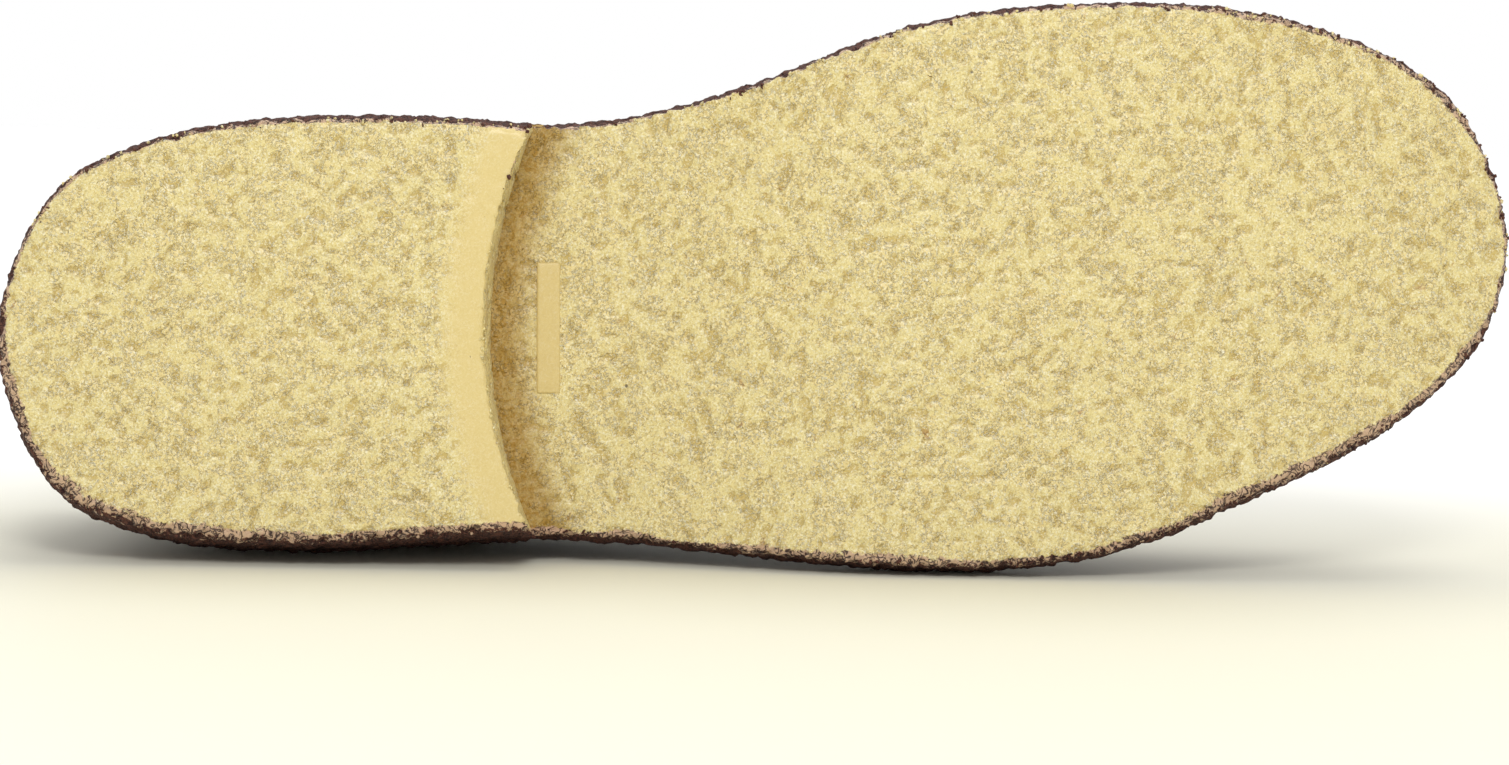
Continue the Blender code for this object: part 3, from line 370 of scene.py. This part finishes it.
def makeLaceCotton():        # the UV map is metres along the lace, and turns round it
    material, tree, shader = newMaterial("laceCotton", 0.85, Sheen_Weight=0.05, Specular_IOR_Level=0.2)
    parts = tree.nodes.new("ShaderNodeSeparateXYZ")
    feed(tree, parts.inputs[0], placeOf(tree, "UV"))
    rise = calc(tree, "MULTIPLY", parts.outputs["X"], math.pi / 0.0016)
    turn = calc(tree, "MULTIPLY", parts.outputs["Y"], math.pi * 4)
    ridges = [calc(tree, "ABSOLUTE", calc(tree, "SINE", calc(tree, way, rise, turn))) for way in ("ADD", "SUBTRACT")]
    plait = calc(tree, "MULTIPLY", ridges[0], ridges[1])
    patches = useGroup(tree, mottle, Vector=placeOf(tree), Scale=300.0)
    # painted shade: the grooves between the braid's strands are coloured darker than the strands
    colour = mixed(tree, ramp(tree, plait, 0.05, 0.6), (0.016, 0.008, 0.006, 1), (0.070, 0.040, 0.029, 1))
    feed(tree, shader["Base Color"], mixed(tree, calc(tree, "MULTIPLY", patches["Fleck"], 0.3), colour, (0.10, 0.062, 0.045, 1)))
    height = calc(tree, "ADD", plait, calc(tree, "MULTIPLY", patches["Fleck"], 0.2))
    feed(tree, shader["Normal"], bumpOf(tree, height, 0.8, 0.0004))
    return material


crepeMaterial, suedeMaterial, brassMaterial, laceMaterial = makeCrepe(), makeSuede(), makeBrass(), makeLaceCotton()
threadMaterial = makeSmoothLeather("waxedThread", (0.16, 0.095, 0.06, 1), (0.24, 0.15, 0.10, 1), 3000.0, 0.6, 0.0001)
liningMaterial = makeSmoothLeather("tanLining", (0.36, 0.20, 0.10, 1), (0.52, 0.32, 0.17, 1), 1400.0, 0.55, 0.0002)
midsoleMaterial = makeSmoothLeather("brownMidsole", (0.055, 0.026, 0.018, 1), (0.13, 0.068, 0.048, 1), 1100.0, 0.6, 0.0003)
print("materials made")

crepeShape = {
    "voxel": 0.00068,
    "lump": 0.0021, "lumpDepth": 0.00020,          # rounded crumbs
    "hollowDepth": 0.00034, "curlDepth": 0.00008,
    "swell": 0.013, "swellDepth": 0.00008,
    "ragged": 0.00055,                             # bumps along the cut edge
    "bandWidth": (0.0040, 0.0105),                 # smooth strip behind the breast
    "pocketShadeReach": 0.0115,                         # painted brown shade in front of the breast
    "stainReach": 0.0034,                          # dye that ran in over the tread's edge
    "glueOverlap": 0.0004,
    "hiddenFrom": 0.0025,                          # glued faces this far from the edge have few faces
    "padPlace": (0.1082, -0.0010), "padSize": (0.0046, 0.0258), "padHeight": 0.0005, "padRound": 0.0004,
}


def crumbAt(place):        # height of the crumbed surface, and how much of a hollow it is; the hollows are darkened in colour as painted shade
    shape = crepeShape
    drift = Vector([noise.noise(place * 260 + Vector(shift)) for shift in ((0, 0, 0), (7, 3, 1), (2, 9, 5))])
    lump = noise.noise((place + drift * 0.0009) / shape["lump"])
    swell = noise.noise(place / shape["swell"])
    shadedHollow = smoothStep(-0.18, -0.38, lump + 0.12 * swell)
    curl = noise.noise(place / 0.0010) * smoothStep(-0.2, 0.2, noise.noise(place / 0.006 + Vector((3, 3, 3))))
    height = (0.3 * lump + 0.7 * smoothStep(-0.4, 0.3, lump) - 0.45) * shape["lumpDepth"] - shadedHollow * shape["hollowDepth"]
    return height + curl * shape["curlDepth"] + swell * shape["swellDepth"], shadedHollow


def stainAt(place, side):        # more dye ran in on the outer side, round the heel's corner and the toe's
    reach = 0.25 + 0.75 * smoothStep(-0.01, 0.03, place.y)
    reach += 0.7 * math.exp(-((place.x - 0.030) / 0.026) ** 2) * (place.y > 0) + 0.6 * smoothStep(0.21, 0.26, place.x)
    reach *= 0.75 + 0.7 * noise.noise(place / 0.012)
    return 1 - smoothStep(0.0, crepeShape["stainReach"] * max(0.1, reach), side)


crumbShape = {"count": 560, "radius": (0.00018, 0.00048), "dyedShare": (0.55, 0.85)}        # share on the inner and outer side
crumbSpots = []


def isBreast(face):
    return face.normal.x > 0.8 and face.calc_center_median().x > 0.085


def makeCrepePiece(name, nodeName, breast, heelShape=None):        # heelShape is what lies glued on the outsole
    bm, shape, onHeel = blockFrom(nodeName), crepeShape, heelShape is None
    rim = treeOf(bm, lambda f: abs(f.normal.z) < (0.6 if onHeel or f.calc_center_median().x > 0.10 else 0.97)
                 and not (onHeel and isBreast(f)))
    tread = treeOf(bm, lambda f: f.normal.z < -0.95)
    shaped(bm, "REMESH", mode="VOXEL", voxel_size=shape["voxel"])
    layers = [bm.verts.layers.float.new(mask) for mask in crepeMasks]
    moves, hidden, onEdge = {}, set(), []
    for v in bm.verts:
        side, toBreast = distanceTo(rim, v.co), distanceTo(breast, v.co)
        band = 1 - smoothStep(*shape["bandWidth"], toBreast) if onHeel and v.normal.z < -0.3 else 0.0
        # painted shade in front of the breast, fading with distance from it
        pocketShade = 0.0 if onHeel else (1 - smoothStep(0.002, shape["pocketShadeReach"], toBreast)) ** 1.1
        height, shadedHollow = crumbAt(v.co)
        toHeel = 1.0 if onHeel or v.normal.z > -0.3 else distanceTo(heelShape, v.co)
        glued = (v.normal.z > 0.6 and side > 0.0004) or toHeel < 0.0007
        rough = 0.0 if glued else 1 - 0.75 * band
        if glued and side > shape["hiddenFrom"]:
            hidden.add(v)
        if not glued and v.normal.z < -0.25 and toHeel > 0.004 and (side < 0.0009 or (onHeel and toBreast < 0.0007)):
            onEdge.append(v)
        up, worn = distanceTo(tread, v.co), smoothStep(0.0, 0.02, v.co.y)        # the dye is worn off along the tread
        up = (1 - worn) * smoothStep(0.0004, 0.0028, up) + worn * (0.56 + 0.44 * smoothStep(0.0015, 0.0055, up))
        dyed = (1 - smoothStep(0.0, 0.0010, side)) * up
        if (glued or toHeel < 0.0025) and toBreast > 0.003:
            dyed = 1.0
        for layer, value in zip(layers, (dyed, stainAt(v.co, side), band, pocketShade, shadedHollow * rough)):
            v[layer] = value
        ragged = 0.0 if glued else noise.fractal(v.co / 0.0019, 0.9, 2.0, 2) * smoothStep(0.0012, 0.0, side) * shape["ragged"]
        overlap = shape["glueOverlap"] * (toHeel < 0.0022 or (onHeel and v.normal.z > 0.7))        # no gap shows in the seam
        moves[v] = v.normal * max(height * rough + ragged, overlap) if overlap else v.normal * (height * rough + ragged)
    for v, move in moves.items():
        v.co += move
    crumbSpots.extend((v.co.copy(), v.normal.copy(), distanceTo(rim, v.co) < 0.0015) for v in onEdge)
    bmesh.ops.dissolve_limit(bm, angle_limit=math.radians(5), verts=list(hidden),
                             edges=[e for e in bm.edges if all(v in hidden for f in e.link_faces for v in f.verts)])
    piece = finishPiece(name, bm, [crepeMaterial], None)
    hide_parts(nodeName)
    print(name, "has", len(piece.data.loops) - 2 * len(piece.data.polygons), "triangles")
    return piece


def makeCrumbs():        # frayed bits that stand up along the cut edges
    shape, chance = crumbShape, random.Random(11)
    bm = bmesh.new()
    dye, stain = (bm.verts.layers.float.new(mask) for mask in ("dye", "stain"))
    for spot, normal, onRim in chance.sample(crumbSpots, shape["count"]):
        size = chance.uniform(*shape["radius"])
        turn = Matrix.Rotation(chance.uniform(0, 6.28), 4, normal) @ Vector((0, 0, 1)).rotation_difference(normal).to_matrix().to_4x4()
        stretch = Matrix.Diagonal((size * chance.uniform(0.6, 1.8), size * chance.uniform(0.5, 1.0), size, 1))
        made = bmesh.ops.create_icosphere(bm, subdivisions=1, radius=1, matrix=Matrix.Translation(spot + normal * size * 0.2) @ turn @ stretch)
        dyed = chance.random() < shape["dyedShare"][spot.y > 0] and onRim
        for v in made["verts"]:
            v[dye], v[stain] = 0.9 * dyed, 0.7 * (onRim and spot.y > 0)
            v.co += Vector([noise.noise(v.co / 0.0004 + Vector(shift)) for shift in ((0, 0, 0), (5, 1, 2), (3, 7, 4))]) * size * 0.5
    finishPiece("frayedCrumbs", bm, [crepeMaterial], None)


def makePad(tread):        # the bare raised pad in front of the breast
    shape = crepeShape
    (x, y), (wide, long) = shape["padPlace"], shape["padSize"]
    spot, normal = tread.ray_cast(Vector((x, y, -0.05)), Vector((0, 0, 1)))[:2]
    bm = bmesh.new()
    bmesh.ops.create_cube(bm, size=1, matrix=Matrix.Diagonal((wide, long, shape["padHeight"] * 4, 1)))
    bmesh.ops.bevel(bm, geom=bm.edges, offset=shape["padRound"], segments=3, profile=0.5, affect="EDGES", material=-1)
    bmesh.ops.subdivide_edges(bm, edges=[e for e in bm.edges if e.calc_length() > 0.003], cuts=12, use_grid_fill=True)
    band, pocketShade = (bm.verts.layers.float.new(mask) for mask in ("band", "pocketShade"))
    turn = Vector((0, 0, -1)).rotation_difference(normal).to_matrix().to_4x4()
    bm.transform(Matrix.Translation(spot - normal * shape["padHeight"]) @ turn)
    for v in bm.verts:
        # the pad gets a little of the painted shade in front of the breast
        v[band], v[pocketShade] = 1.0, 0.16
        v.co += normal * noise.noise(v.co / 0.0015) * 0.00006
    finishPiece("barePad", bm, [crepeMaterial])


heelBlock, soleBlock = blockFrom("heel_lift"), blockFrom("outsole")
breastTree = treeOf(heelBlock, isBreast)
makeCrepePiece("crepeSole", "outsole", breastTree, treeOf(heelBlock))
makeCrepePiece("crepeHeel", "heel_lift", breastTree)
makePad(treeOf(soleBlock))
makeCrumbs()
print("crepe sole made")


upperShape = {
    "smooth": 2,                                   # subdivision levels
    "creaseDepth": 0.0007, "creaseAt": (0.200, 0.2075, 0.2145, 0.2215), "creaseWidth": 0.0026,
}


def outwardAt(place):        # away from the middle of the foot's room
    x = min(0.27, max(0.035, place.x))
    return (place - Vector((x, -0.004 - 0.08 * max(0.0, x - 0.12), 0.030 if x < 0.15 else 0.022))).normalized()


def insideUpper(face):        # true on the side that the foot touches
    middle = face.calc_center_median()
    return face.normal.dot(outwardAt(middle)) < -0.35 and middle.z > 0.012


def smoothed(bm, levels, keepAngle):        # joins the loose triangles to quads and rounds all but the hard edges
    bmesh.ops.join_triangles(bm, faces=bm.faces, angle_face_threshold=math.radians(12), angle_shape_threshold=math.radians(60))
    hard = bm.edges.layers.float.new("crease_edge")
    for edge in bm.edges:
        if len(edge.link_faces) == 2 and edge.calc_face_angle() > keepAngle:
            edge[hard] = 1.0
    shaped(bm, "SUBSURF", levels=levels, render_levels=levels)


def flexDepth(place):        # creases across the vamp where the toes bend
    shape, depth = upperShape, 0.0
    for i, at in enumerate(shape["creaseAt"]):
        bend = at + 0.010 * noise.noise(Vector((place.y * 45, i * 3.1, 0))) + 0.05 * abs(place.y + 0.014)
        fade = smoothStep(0.046, 0.030, abs(place.y + 0.014)) * (1.0, 0.75, 0.9, 0.55)[i]
        depth += fade * math.exp(-((place.x - bend) / shape["creaseWidth"]) ** 2)
    return depth * shape["creaseDepth"]


def makeUpper():
    bm = blockFrom("upper")
    smoothed(bm, upperShape["smooth"], math.radians(36))
    for face in bm.faces:
        face.material_index = int(insideUpper(face))
    onVamp = {v for f in bm.faces if f.material_index == 0 for v in f.verts if 0.193 < v.co.x < 0.235 and v.co.z > 0.022}
    moves = {v: -v.normal * flexDepth(v.co) for v in onVamp}
    for v, move in moves.items():
        v.co += move
    piece = finishPiece("suedeUpper", bm, [suedeMaterial, liningMaterial], math.radians(36))
    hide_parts("upper")
    return piece


laceShape = {
    "radius": 0.0015, "clear": 0.0005, "setback": 0.0098, "underWall": 0.0052, "tail": 0.008,
    "pressed": 0.0032, "pressReach": (0.0095, 0.0040),
}
upperBlock = blockFrom("upper")
upperTree = treeOf(upperBlock)


def eyeletPlace(side, row):        # its middle, and its axis out of the shoe
    bm = blockFrom(f"eyelet_{side}_{row}")
    centre = sum((v.co for v in bm.verts), Vector()) / len(bm.verts)
    axis = (centre - Vector((centre.x, -0.006, 0.030))).normalized()
    for step in range(3):
        axis = sum((f.normal * f.calc_area() for f in bm.faces if f.normal.dot(axis) > 0.8), Vector()).normalized()
    bm.free()
    return centre, axis


eyelets = {(side, row): eyeletPlace(side, row) for side in ("outer", "inner") for row in (1, 2, 3)}


def overRim(side, row, other):        # from inside the shoe up through an eyelet, and over the facing's edge
    (centre, axis), shape = eyelets[side, row], laceShape
    inward = eyelets[other, row][0] - centre
    inward = (inward - axis * inward.dot(axis)).normalized()
    top = centre + axis * 0.0032
    edge = upperTree.ray_cast(top + inward * shape["setback"] + axis * 0.006, -axis)[0]
    over = top + inward * shape["setback"] if edge is None or (edge - top).length > 0.016 else edge + axis * (shape["radius"] + shape["clear"])
    return [centre - axis * shape["underWall"], centre - axis * 0.0024, centre + axis * 0.0010,
            centre + inward * 0.0011 + axis * 0.0030, centre + inward * 0.0034 + axis * 0.0037, over]


def bar(row, start, end):
    first, last = overRim(start, row, end), overRim(end, row, start)
    a, b = first[-1], last[-1]
    return first + [a.lerp(b, share) for share in (0.25, 0.5, 0.75)] + last[::-1]


def under(side, *stops):        # a run between the quarter and the tongue: each stop is a row, with a shift down the quarter
    points = []
    for row, shift, along in stops:
        centre, axis = eyelets[side, row]
        down = axis.cross(Vector((1, 0, 0))).normalized() * (1 if side == "inner" else -1)
        points.append(centre - axis * laceShape["underWall"] + down * shift + Vector((along, 0, 0)))
    return points


def laceRoute():
    route = under("outer", (1, 0.0, -laceShape["tail"])) + bar(1, "outer", "inner")
    route += under("inner", (1, 0.0, 0.006), (2, 0.0, -0.006)) + bar(2, "inner", "outer")
    route += under("outer", (2, 0.0, 0.006), (3, 0.0, -0.006)) + bar(3, "outer", "inner")
    route += under("inner", (3, 0.0020, -0.006), (2, 0.0042, 0.004), (2, 0.0042, -0.006), (1, 0.0040, 0.004), (1, 0.0040, -0.004))
    return route


def tube(name, route, radius, material, sides=3, steps=6):        # one smooth cord through a route, with a UV map along it
    curve = bpy.data.curves.new(name, "CURVE")
    curve.dimensions, curve.bevel_depth, curve.bevel_resolution, curve.use_fill_caps = "3D", radius, sides, True
    curve.resolution_u = steps
    spline = curve.splines.new("BEZIER")
    spline.bezier_points.add(len(route) - 1)
    for point, at in zip(spline.bezier_points, route):
        point.co = toRow @ at
        point.handle_left_type = point.handle_right_type = "AUTO"
    line = bpy.data.objects.new(name, curve)
    bpy.context.scene.collection.objects.link(line)
    mesh = bpy.data.meshes.new_from_object(line.evaluated_get(bpy.context.evaluated_depsgraph_get()))
    bpy.data.objects.remove(line)
    mesh.materials.clear()
    mesh.materials.append(material)
    around = 4 + 2 * sides        # the curve gives its points ring by ring
    rings = [sum((mesh.vertices[i + j].co for j in range(around)), Vector()) / around for i in range(0, len(mesh.vertices) - around + 1, around)]
    along = [0.0]
    for a, b in zip(rings, rings[1:]):
        along.append(along[-1] + (b - a).length)
    print(name, "is", round(along[-1], 3), "m long,", len(mesh.vertices) % around, "points over")
    layer = mesh.uv_layers.active or mesh.uv_layers.new(name="UVMap")
    for face in mesh.polygons:
        places = [mesh.loops[i].vertex_index % around for i in face.loop_indices]
        closes = 0 in places and around - 1 in places
        for i, j in zip(face.loop_indices, places):
            ring = min(mesh.loops[i].vertex_index // around, len(along) - 1)
            layer.data[i].uv = (along[ring], (around if closes and j == 0 else j) / around)
    piece = bpy.data.objects.new(name, mesh)
    bpy.context.scene.collection.objects.link(piece)
    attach(piece, "root")
    return piece


def makeTongue():
    bm = blockFrom("tongue")
    smoothed(bm, 2, math.radians(36))
    hidden = [under(side, (row, 0.0, 0.0))[0] for side in ("outer", "inner") for row in (1, 2, 3)]
    runs = [(hidden[i], hidden[i + 1]) for i in (0, 1, 3, 4)]
    moves = {}
    for v in bm.verts:        # the lace's hidden runs press into it
        near = min(((a + (b - a) * min(1, max(0, (v.co - a).dot(b - a) / (b - a).length_squared))) for a, b in runs), key=lambda p: (p - v.co).length)
        share = smoothStep(*laceShape["pressReach"], (near - v.co).length)
        towards = Vector((v.co.x, -0.010, 0.035)) - near
        moves[v] = towards.normalized() * share * laceShape["pressed"]
    for v, move in moves.items():
        v.co += move
    piece = finishPiece("suedeTongue", bm, [suedeMaterial], math.radians(36))
    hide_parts("tongue")
    return piece


stitch = {"thread": 0.00032, "length": 0.0024, "pitch": 0.0031, "sunk": 0.00008, "footSetback": 0.0024}


def edgeLine(start, end):        # the shortest way along the upper's hard edges from one place to another
    hard = {}
    for edge in upperBlock.edges:
        if len(edge.link_faces) != 2 or edge.calc_face_angle_signed() < math.radians(38):
            continue
        outward = outwardAt(edge.verts[0].co)
        if sum(f.normal.dot(outward) for f in edge.link_faces) > 0.5:
            for v in edge.verts:
                hard.setdefault(v, []).append(edge)
    begin, finish = (min(hard, key=lambda v: (v.co - Vector(place)).length) for place in (start, end))
    reached, waiting = {begin: (0.0, None)}, [begin]
    while waiting:
        v = min(waiting, key=lambda w: reached[w][0])
        waiting.remove(v)
        if v == finish:
            break
        for edge in hard[v]:
            other, far = edge.other_vert(v), reached[v][0] + edge.calc_length()
            if other not in reached or far < reached[other][0]:
                reached[other] = (far, v)
                waiting.append(other)
    line, v = [], finish
    while v is not None:
        line.append(v.co.copy())
        v = reached[v][1]
    return line[::-1]


def evenly(line, pitch):        # points at an even pitch, each with the direction there
    found, left = [], pitch / 2
    for a, b in zip(line, line[1:]):
        step = (b - a).length
        while left < step:
            found.append((a.lerp(b, left / step), (b - a).normalized()))
            left += pitch
        left -= step
    return found


def sew(bm, spot, along, normal):        # one stitch on the leather
    along = (along - normal * along.dot(normal)).normalized()
    turn = Matrix((along, normal.cross(along), normal)).transposed().to_4x4()
    size = Matrix.Diagonal((stitch["length"] / 2, stitch["thread"] * 1.15, stitch["thread"], 1))
    lift = normal * (stitch["thread"] - stitch["sunk"]) * 0.5
    bmesh.ops.create_uvsphere(bm, u_segments=6, v_segments=5, radius=1,
                              matrix=Matrix.Translation(spot + lift) @ turn @ size @ Matrix.Rotation(math.pi / 2, 4, "Y"))


def stitchRow(bm, line, offset):        # offset is how far to the left of the line, seen from outside
    fine = [place for place, along in evenly(line, 0.001)]
    soft = [sum(fine[max(0, i - 4):i + 5], Vector()) / len(fine[max(0, i - 4):i + 5]) for i in range(len(fine))]
    for place, along in evenly(soft, stitch["pitch"]):
        outward = outwardAt(place)
        start = place + outward.cross(along).normalized() * offset
        spot, normal = upperTree.ray_cast(start + outward * 0.008, -outward)[:2]
        if spot is not None and (spot - start).length < 0.006 and normal.dot(outward) > 0.3:
            sew(bm, spot, along, normal)


def footRow(bm):        # through the turned-out flange and the midsole, all round
    rim = {v for e in upperBlock.edges for v in e.verts if len(e.link_faces) == 2 and v.co.z < 0.030
           and max(f.normal.z for f in e.link_faces) > 0.8 and min(abs(f.normal.z) for f in e.link_faces) < 0.4 and e.calc_face_angle_signed() > 0.6}
    line = [v.co.copy() for v in sorted(rim, key=lambda v: math.atan2(v.co.y * 3, v.co.x - 0.15))]
    for place, along in evenly(line + line[:1], stitch["pitch"] * 1.5):
        inward = Vector((0, 0, 1)).cross(along).normalized()
        spot, normal = upperTree.ray_cast(place + inward * stitch["footSetback"] + Vector((0, 0, 0.003)), Vector((0, 0, -1)))[:2]
        if spot is not None and normal.z > 0.7 and abs(spot.z - place.z) < 0.002:
            sew(bm, spot, along, normal)


def makeStitches():
    bm = bmesh.new()
    topBack, throat = {"outer": (0.0139, 0.0055, 0.0865), "inner": (0.0139, -0.0054, 0.0864)}, {"outer": (0.1931, -0.0076, 0.0670), "inner": (0.1923, -0.0183, 0.0666)}
    foot = {"outer": (0.1555, 0.0385, 0.0178), "inner": (0.1554, -0.0451, 0.0178)}
    strip = {"outer": ((0.0128, 0.0053, 0.0866), (0.0079, 0.0073, 0.0266)), "inner": ((0.0128, -0.0053, 0.0866), (0.0079, -0.0073, 0.0266))}
    for side, sign in (("outer", 1), ("inner", -1)):
        top = edgeLine(topBack[side], throat[side])
        front = edgeLine(throat[side], foot[side])
        stitchRow(bm, top, sign * 0.0030)
        stitchRow(bm, front, sign * 0.0018)
        stitchRow(bm, front, sign * 0.0042)
        stitchRow(bm, edgeLine(*strip[side]), sign * 0.0015)
    footRow(bm)
    piece = finishPiece("upperStitches", bm, [threadMaterial], None)
    print("stitches:", len(piece.data.polygons))
    return piece


makeUpper()
lace = tube("lace", laceRoute(), laceShape["radius"], laceMaterial)
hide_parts("lace_bar_1", "lace_bar_2", "lace_bar_3")
makeTongue()
makeStitches()
print("upper made")


def dress(nodeName, material):        # a CAD node that stays gets its finish
    node = frame["nodes"][nodeName]
    node.data.materials.clear()
    node.data.materials.append(material)


dress("midsole", midsoleMaterial)
dress("insole", liningMaterial)
for side in ("outer", "inner"):
    for row in (1, 2, 3):
        dress(f"eyelet_{side}_{row}", brassMaterial)
print("upper dressed")

studio = {
    # the floor colour is the cream near the shoe, darker than the floor further back: painted shade and bounce light
    "floor": (0.82, 0.80, 0.67, 1), "back": 1.0, "front": 0.6,        # the room is dimmer on the camera's side
    "sun": 0.8, "sunSpread": math.radians(40), "sunTurn": (math.radians(-20), math.radians(8), 0),
    "softbox": 5.0, "softboxSize": 0.35, "softboxPlace": Vector((0.02, -0.95, 0.80)),
}


def makeStudio():
    bm = bmesh.new()
    bmesh.ops.create_grid(bm, x_segments=1, y_segments=1, size=4.0)
    mesh = bpy.data.meshes.new("floor")
    bm.to_mesh(mesh)
    bm.free()
    floor = bpy.data.objects.new("floor", mesh)
    bpy.context.scene.collection.objects.link(floor)
    material, tree, shader = newMaterial("floorWithPaintedLight", 0.6)
    place = placeOf(tree)
    parts = tree.nodes.new("ShaderNodeSeparateXYZ")
    feed(tree, parts.inputs[0], place)
    patches = useGroup(tree, mottle, Vector=place, Scale=3.0)
    # painted light on the floor: cream and dimmer near the shoe as painted shade and bounce light, pure white from a
    # little behind it as painted glare
    near = mixed(tree, calc(tree, "MULTIPLY", patches["Patch"], 0.15), studio["floor"], (0.79, 0.77, 0.63, 1))
    feed(tree, shader["Base Color"], mixed(tree, ramp(tree, parts.outputs["Y"], -0.02, 0.22), near, (1, 1, 1, 1)))
    mesh.materials.append(material)
    world = bpy.data.worlds.new("studio")
    world.use_nodes = True
    room = world.node_tree
    parts = room.nodes.new("ShaderNodeSeparateXYZ")
    feed(room, parts.inputs[0], placeOf(room, "Generated"))
    room.nodes["Background"].inputs["Color"].default_value = (1, 1, 1, 1)
    feed(room, room.nodes["Background"].inputs["Strength"], ramp(room, parts.outputs["Y"], -0.3, 0.3, studio["front"], studio["back"]))
    bpy.context.scene.world = world
    sun = bpy.data.lights.new("softTop", "SUN")
    sun.energy, sun.angle = studio["sun"], studio["sunSpread"]
    sunObject = bpy.data.objects.new("softTop", sun)
    sunObject.rotation_euler = studio["sunTurn"]
    bpy.context.scene.collection.objects.link(sunObject)
    box = bpy.data.lights.new("softbox", "AREA")
    box.energy, box.size = studio["softbox"], studio["softboxSize"]
    boxObject = bpy.data.objects.new("softbox", box)
    boxObject.location = studio["softboxPlace"]
    boxObject.rotation_euler = (-studio["softboxPlace"]).to_track_quat("-Z", "Y").to_euler()
    bpy.context.scene.collection.objects.link(boxObject)
    bpy.context.scene.view_settings.view_transform = "Standard"


photoView = {
    "lens": 85.2, "distance": 0.693, "aim": Vector((-0.0014, -0.047, 0.0372)),
    "azimuth": math.radians(-2.39), "elevation": math.radians(5.04), "roll": math.radians(1.22),
}


def makeCamera():
    view = photoView
    away = Vector((math.sin(view["azimuth"]) * math.cos(view["elevation"]),
                   -math.cos(view["azimuth"]) * math.cos(view["elevation"]), math.sin(view["elevation"])))
    right = (-away).cross(Vector((0, 0, 1))).normalized()
    right = Matrix.Rotation(-view["roll"], 3, -away) @ right
    up = away.cross(right)
    data = bpy.data.cameras.new("camera")
    data.lens, data.clip_start = view["lens"], 0.01
    camera = bpy.data.objects.new("camera", data)
    camera.matrix_world = Matrix.Translation(view["aim"] + away * view["distance"]) @ Matrix((right, up, away)).transposed().to_4x4()
    bpy.context.scene.collection.objects.link(camera)
    bpy.context.scene.camera = camera


makeStudio()
makeCamera()
print("studio made")
